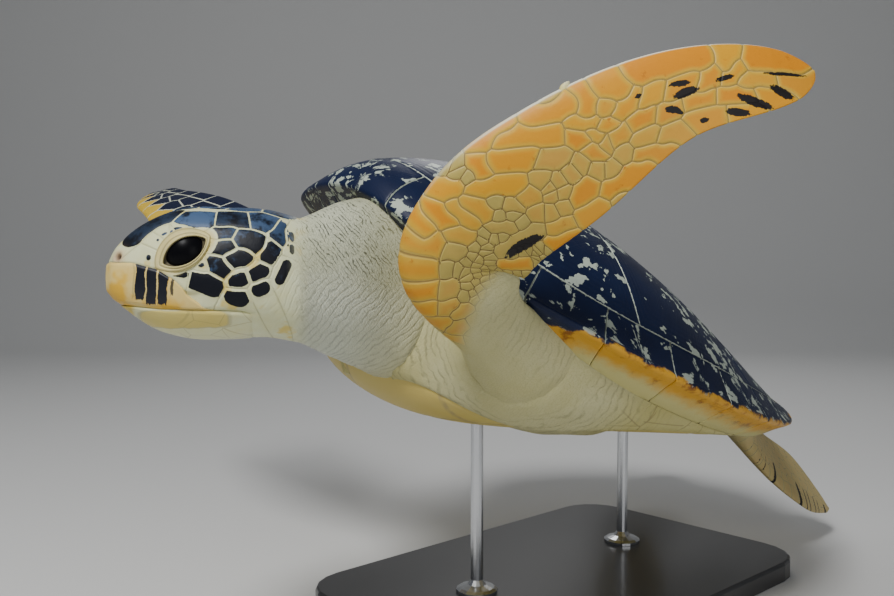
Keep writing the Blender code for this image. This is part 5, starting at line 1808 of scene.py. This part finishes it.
def make_eye(side, name, finish):
    """A glossy ball on a grid of latitudes and longitudes, its pole looking out of the head."""
    turn = full_turn(64)
    tilt = np.linspace(-0.5 * math.pi, 0.5 * math.pi, 34)[1:-1][:, None]
    flat = EYE_RADIUS * np.cos(tilt)
    out = EYE_PLACE[1] + EYE_RADIUS * np.sin(tilt) + 0 * turn
    local = np.stack([EYE_PLACE[0] + flat * np.cos(turn), side * out, EYE_PLACE[2] + flat * np.sin(turn)], -1)
    local, faces = tube(local)
    piece(name + "_ball", to_row(head_point(local)), faces, finish, {"local": local}, (name,))


# The claw's radius from its root, inside the flipper, to its blunt tip; how far the tip lies out and along
# the flipper, in claw lengths; and how flat it is
CLAW_PLACES = (-0.5, 0.3, 0.7, 0.9, 1.0)
CLAW_RADII = (0.0040, 0.0038, 0.0034, 0.0025, 0.0005)
CLAW_LEAN = (0.5, 0.4)
CLAW_FLATNESS = 0.7


def make_claw(side, path, leading, finish):
    """A short blunt cone on the leading edge, leaning towards the tip."""
    turn = full_turn(28)
    places = np.array([CLAW_AT, CLAW_AT + 0.02])
    ring, _ = limb_rings(path, leading, ARM_SIZES, places, np.array([0.0, math.pi]), FOIL)
    root, along = ring[0, 0], unit(ring[1, 0] - ring[0, 0])
    outwards = unit(ring[0, 0] - ring[0, 1])
    upright = np.cross(along, outwards)
    part = np.sin(np.linspace(-0.45, math.pi / 2, 22))
    radius = np.interp(part, CLAW_PLACES, CLAW_RADII)
    tip = CLAW_LENGTH * (CLAW_LEAN[0] * outwards + CLAW_LEAN[1] * along)
    middle = root + part[:, None] * tip
    round_ = np.outer(np.cos(turn), along) + CLAW_FLATNESS * np.outer(np.sin(turn), upright)
    points, faces = tube(middle[:, None] + radius[:, None, None] * round_)
    piece("claw_horn_" + side, to_row(points), faces, finish, {"local": points}, ("claw_" + side,))


# ---------------------------------------------------------------- stand, stage, light and camera


def dress_stand():
    """Black paint for the base and brushed steel for the rods, on the CAD parts themselves."""
    base, tree, shader = finish_of("satin black base", 0.34, 0.3)
    surface(tree, shader, (0.020, 0.020, 0.022), cloud(tree, place_of(tree), 900, 2), 0.0001, 0.15)
    rod, tree, shader = finish_of("brushed steel", 0.26, 0.0, 1.0)
    brushed = stretched(tree, place_of(tree), (60.0, 60.0, 2600.0))
    surface(tree, shader, (0.62, 0.63, 0.65), cloud(tree, brushed, 1.0, 2), 0.0001, 0.25)
    for name in ("stand_base", "stand_rod_front", "stand_rod_rear"):
        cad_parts[name].data.materials.clear()
        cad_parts[name].data.materials.append(base if name == "stand_base" else rod)


# The floor's near end, the start and radius of its bend, the backdrop's height, half its width, and the
# direction away from the viewer
FLOOR_NEAR = -4.0
FLOOR_BEND = 2.2
BEND_RADIUS = 1.2
BACKDROP_HEIGHT = 5.0
FLOOR_HALF_WIDTH = 6.0
AWAY = (-0.7304, 0.6811)


def make_stage():
    """A plain floor that curves up into a backdrop behind the model."""
    bend = np.linspace(0, math.pi / 2, 24)
    curve = np.stack([FLOOR_BEND + BEND_RADIUS * np.sin(bend), BEND_RADIUS * (1 - np.cos(bend))], 1)
    floor = np.concatenate([[(FLOOR_NEAR, 0.0)], curve, [(FLOOR_BEND + BEND_RADIUS, BACKDROP_HEIGHT)]])
    away = unit(np.array(AWAY))
    across = np.array((away[1], -away[0]))
    points = np.array([np.append(away * depth + across * FLOOR_HALF_WIDTH * side, height)
                       for depth, height in floor for side in (-1, 1)])
    mesh = bpy.data.meshes.new("floor")
    here = np.arange(len(floor) - 1) * 2
    faces = np.stack([here, here + 1, here + 3, here + 2], 1)
    mesh.from_pydata(points.tolist(), [], faces.tolist())
    mesh.polygons.foreach_set("use_smooth", np.ones(len(faces), bool))
    mesh.materials.append(finish_of("pale floor", 0.8, colour=(0.62, 0.62, 0.61))[0])
    obj = bpy.data.objects.new("floor", mesh)
    bpy.context.scene.collection.objects.link(obj)


def put(name, data, place, right, up, back):
    """Adds a light or a camera at a place, turned so that it looks against back."""
    obj = bpy.data.objects.new(name, data)
    bpy.context.scene.collection.objects.link(obj)
    turn = np.stack([right, up, back], 1).tolist()
    obj.matrix_world = Matrix([(*row, end) for row, end in zip(turn, place)] + [(0, 0, 0, 1)])
    return obj


def add_light(name, place, target, size, power):
    """A round area light at a place, turned to its target."""
    light = bpy.data.lights.new(name, "AREA")
    light.shape = "DISK"
    light.size = size
    light.energy = power
    back = unit(np.subtract(place, target))
    right = unit(np.cross((0, 0, 1), back))
    put(name, light, place, right, np.cross(back, right), back)


# The camera: its angles round the model from the nose to its left and above its level, how far off it is, how
# far it is shifted to the right and up, and its lens in millimetres
CAMERA_ROUND = math.radians(47)
CAMERA_HEIGHT = math.radians(3)
CAMERA_AWAY = 0.97
CAMERA_SHIFT = (-0.121, 0.019)
CAMERA_LENS = 38.26


def add_camera():
    """Looks at the model from ahead of it on its left, a little above its level."""
    right = np.array((math.cos(CAMERA_ROUND), math.sin(CAMERA_ROUND), 0.0))
    level = np.array((math.sin(CAMERA_ROUND), -math.cos(CAMERA_ROUND), 0.0))
    back = math.cos(CAMERA_HEIGHT) * level + np.array((0.0, 0.0, math.sin(CAMERA_HEIGHT)))
    up = np.cross(back, right)
    place = CAMERA_AWAY * back + CAMERA_SHIFT[0] * right + CAMERA_SHIFT[1] * up + (0, 0, SHELL_HEIGHT)
    lens = bpy.data.cameras.new("camera")
    lens.lens = CAMERA_LENS
    lens.clip_start = 0.01
    bpy.context.scene.camera = put("camera", lens, place.tolist(), right, up, back)


def light_scene():
    """A dim bluish surrounding light, a key from ahead, a fill from the left and a light from behind."""
    world = bpy.data.worlds.new("studio")
    world.use_nodes = True
    background = world.node_tree.nodes["Background"]
    background.inputs["Color"].default_value = (0.80, 0.84, 0.90, 1)
    background.inputs["Strength"].default_value = 0.17
    bpy.context.scene.world = world
    add_light("key", (0.5, -1.5, 1.9), (0, 0, 0.3), 0.7, 54)
    add_light("fill", (2.2, -0.6, 0.8), (0, 0, 0.25), 1.4, 10)
    add_light("back", (-1.2, 1.4, 1.6), (0, 0, 0.3), 0.9, 8)


def main():
    """Every piece in turn, then the stand, the floor, the light and the camera."""
    make_shell()
    make_plastron()
    make_skin()
    make_beak(horn_finish("beak horn", beak_colour))
    make_jaw(horn_finish("jaw horn", jaw_colour))
    eye = finish_of("eye", 0.32, 0.0, colour=(0.003, 0.003, 0.004), shine=0.06)[0]
    for side, name in ((1, "eye_left"), (-1, "eye_right")):
        make_eye(side, name, eye)
    claw = horn_finish("claw horn", claw_colour)
    make_claw("left", NEAR_ARM, NEAR_LEADING, claw)
    make_claw("right", FAR_ARM, FAR_LEADING, claw)
    dress_stand()
    make_stage()
    light_scene()
    add_camera()


main()
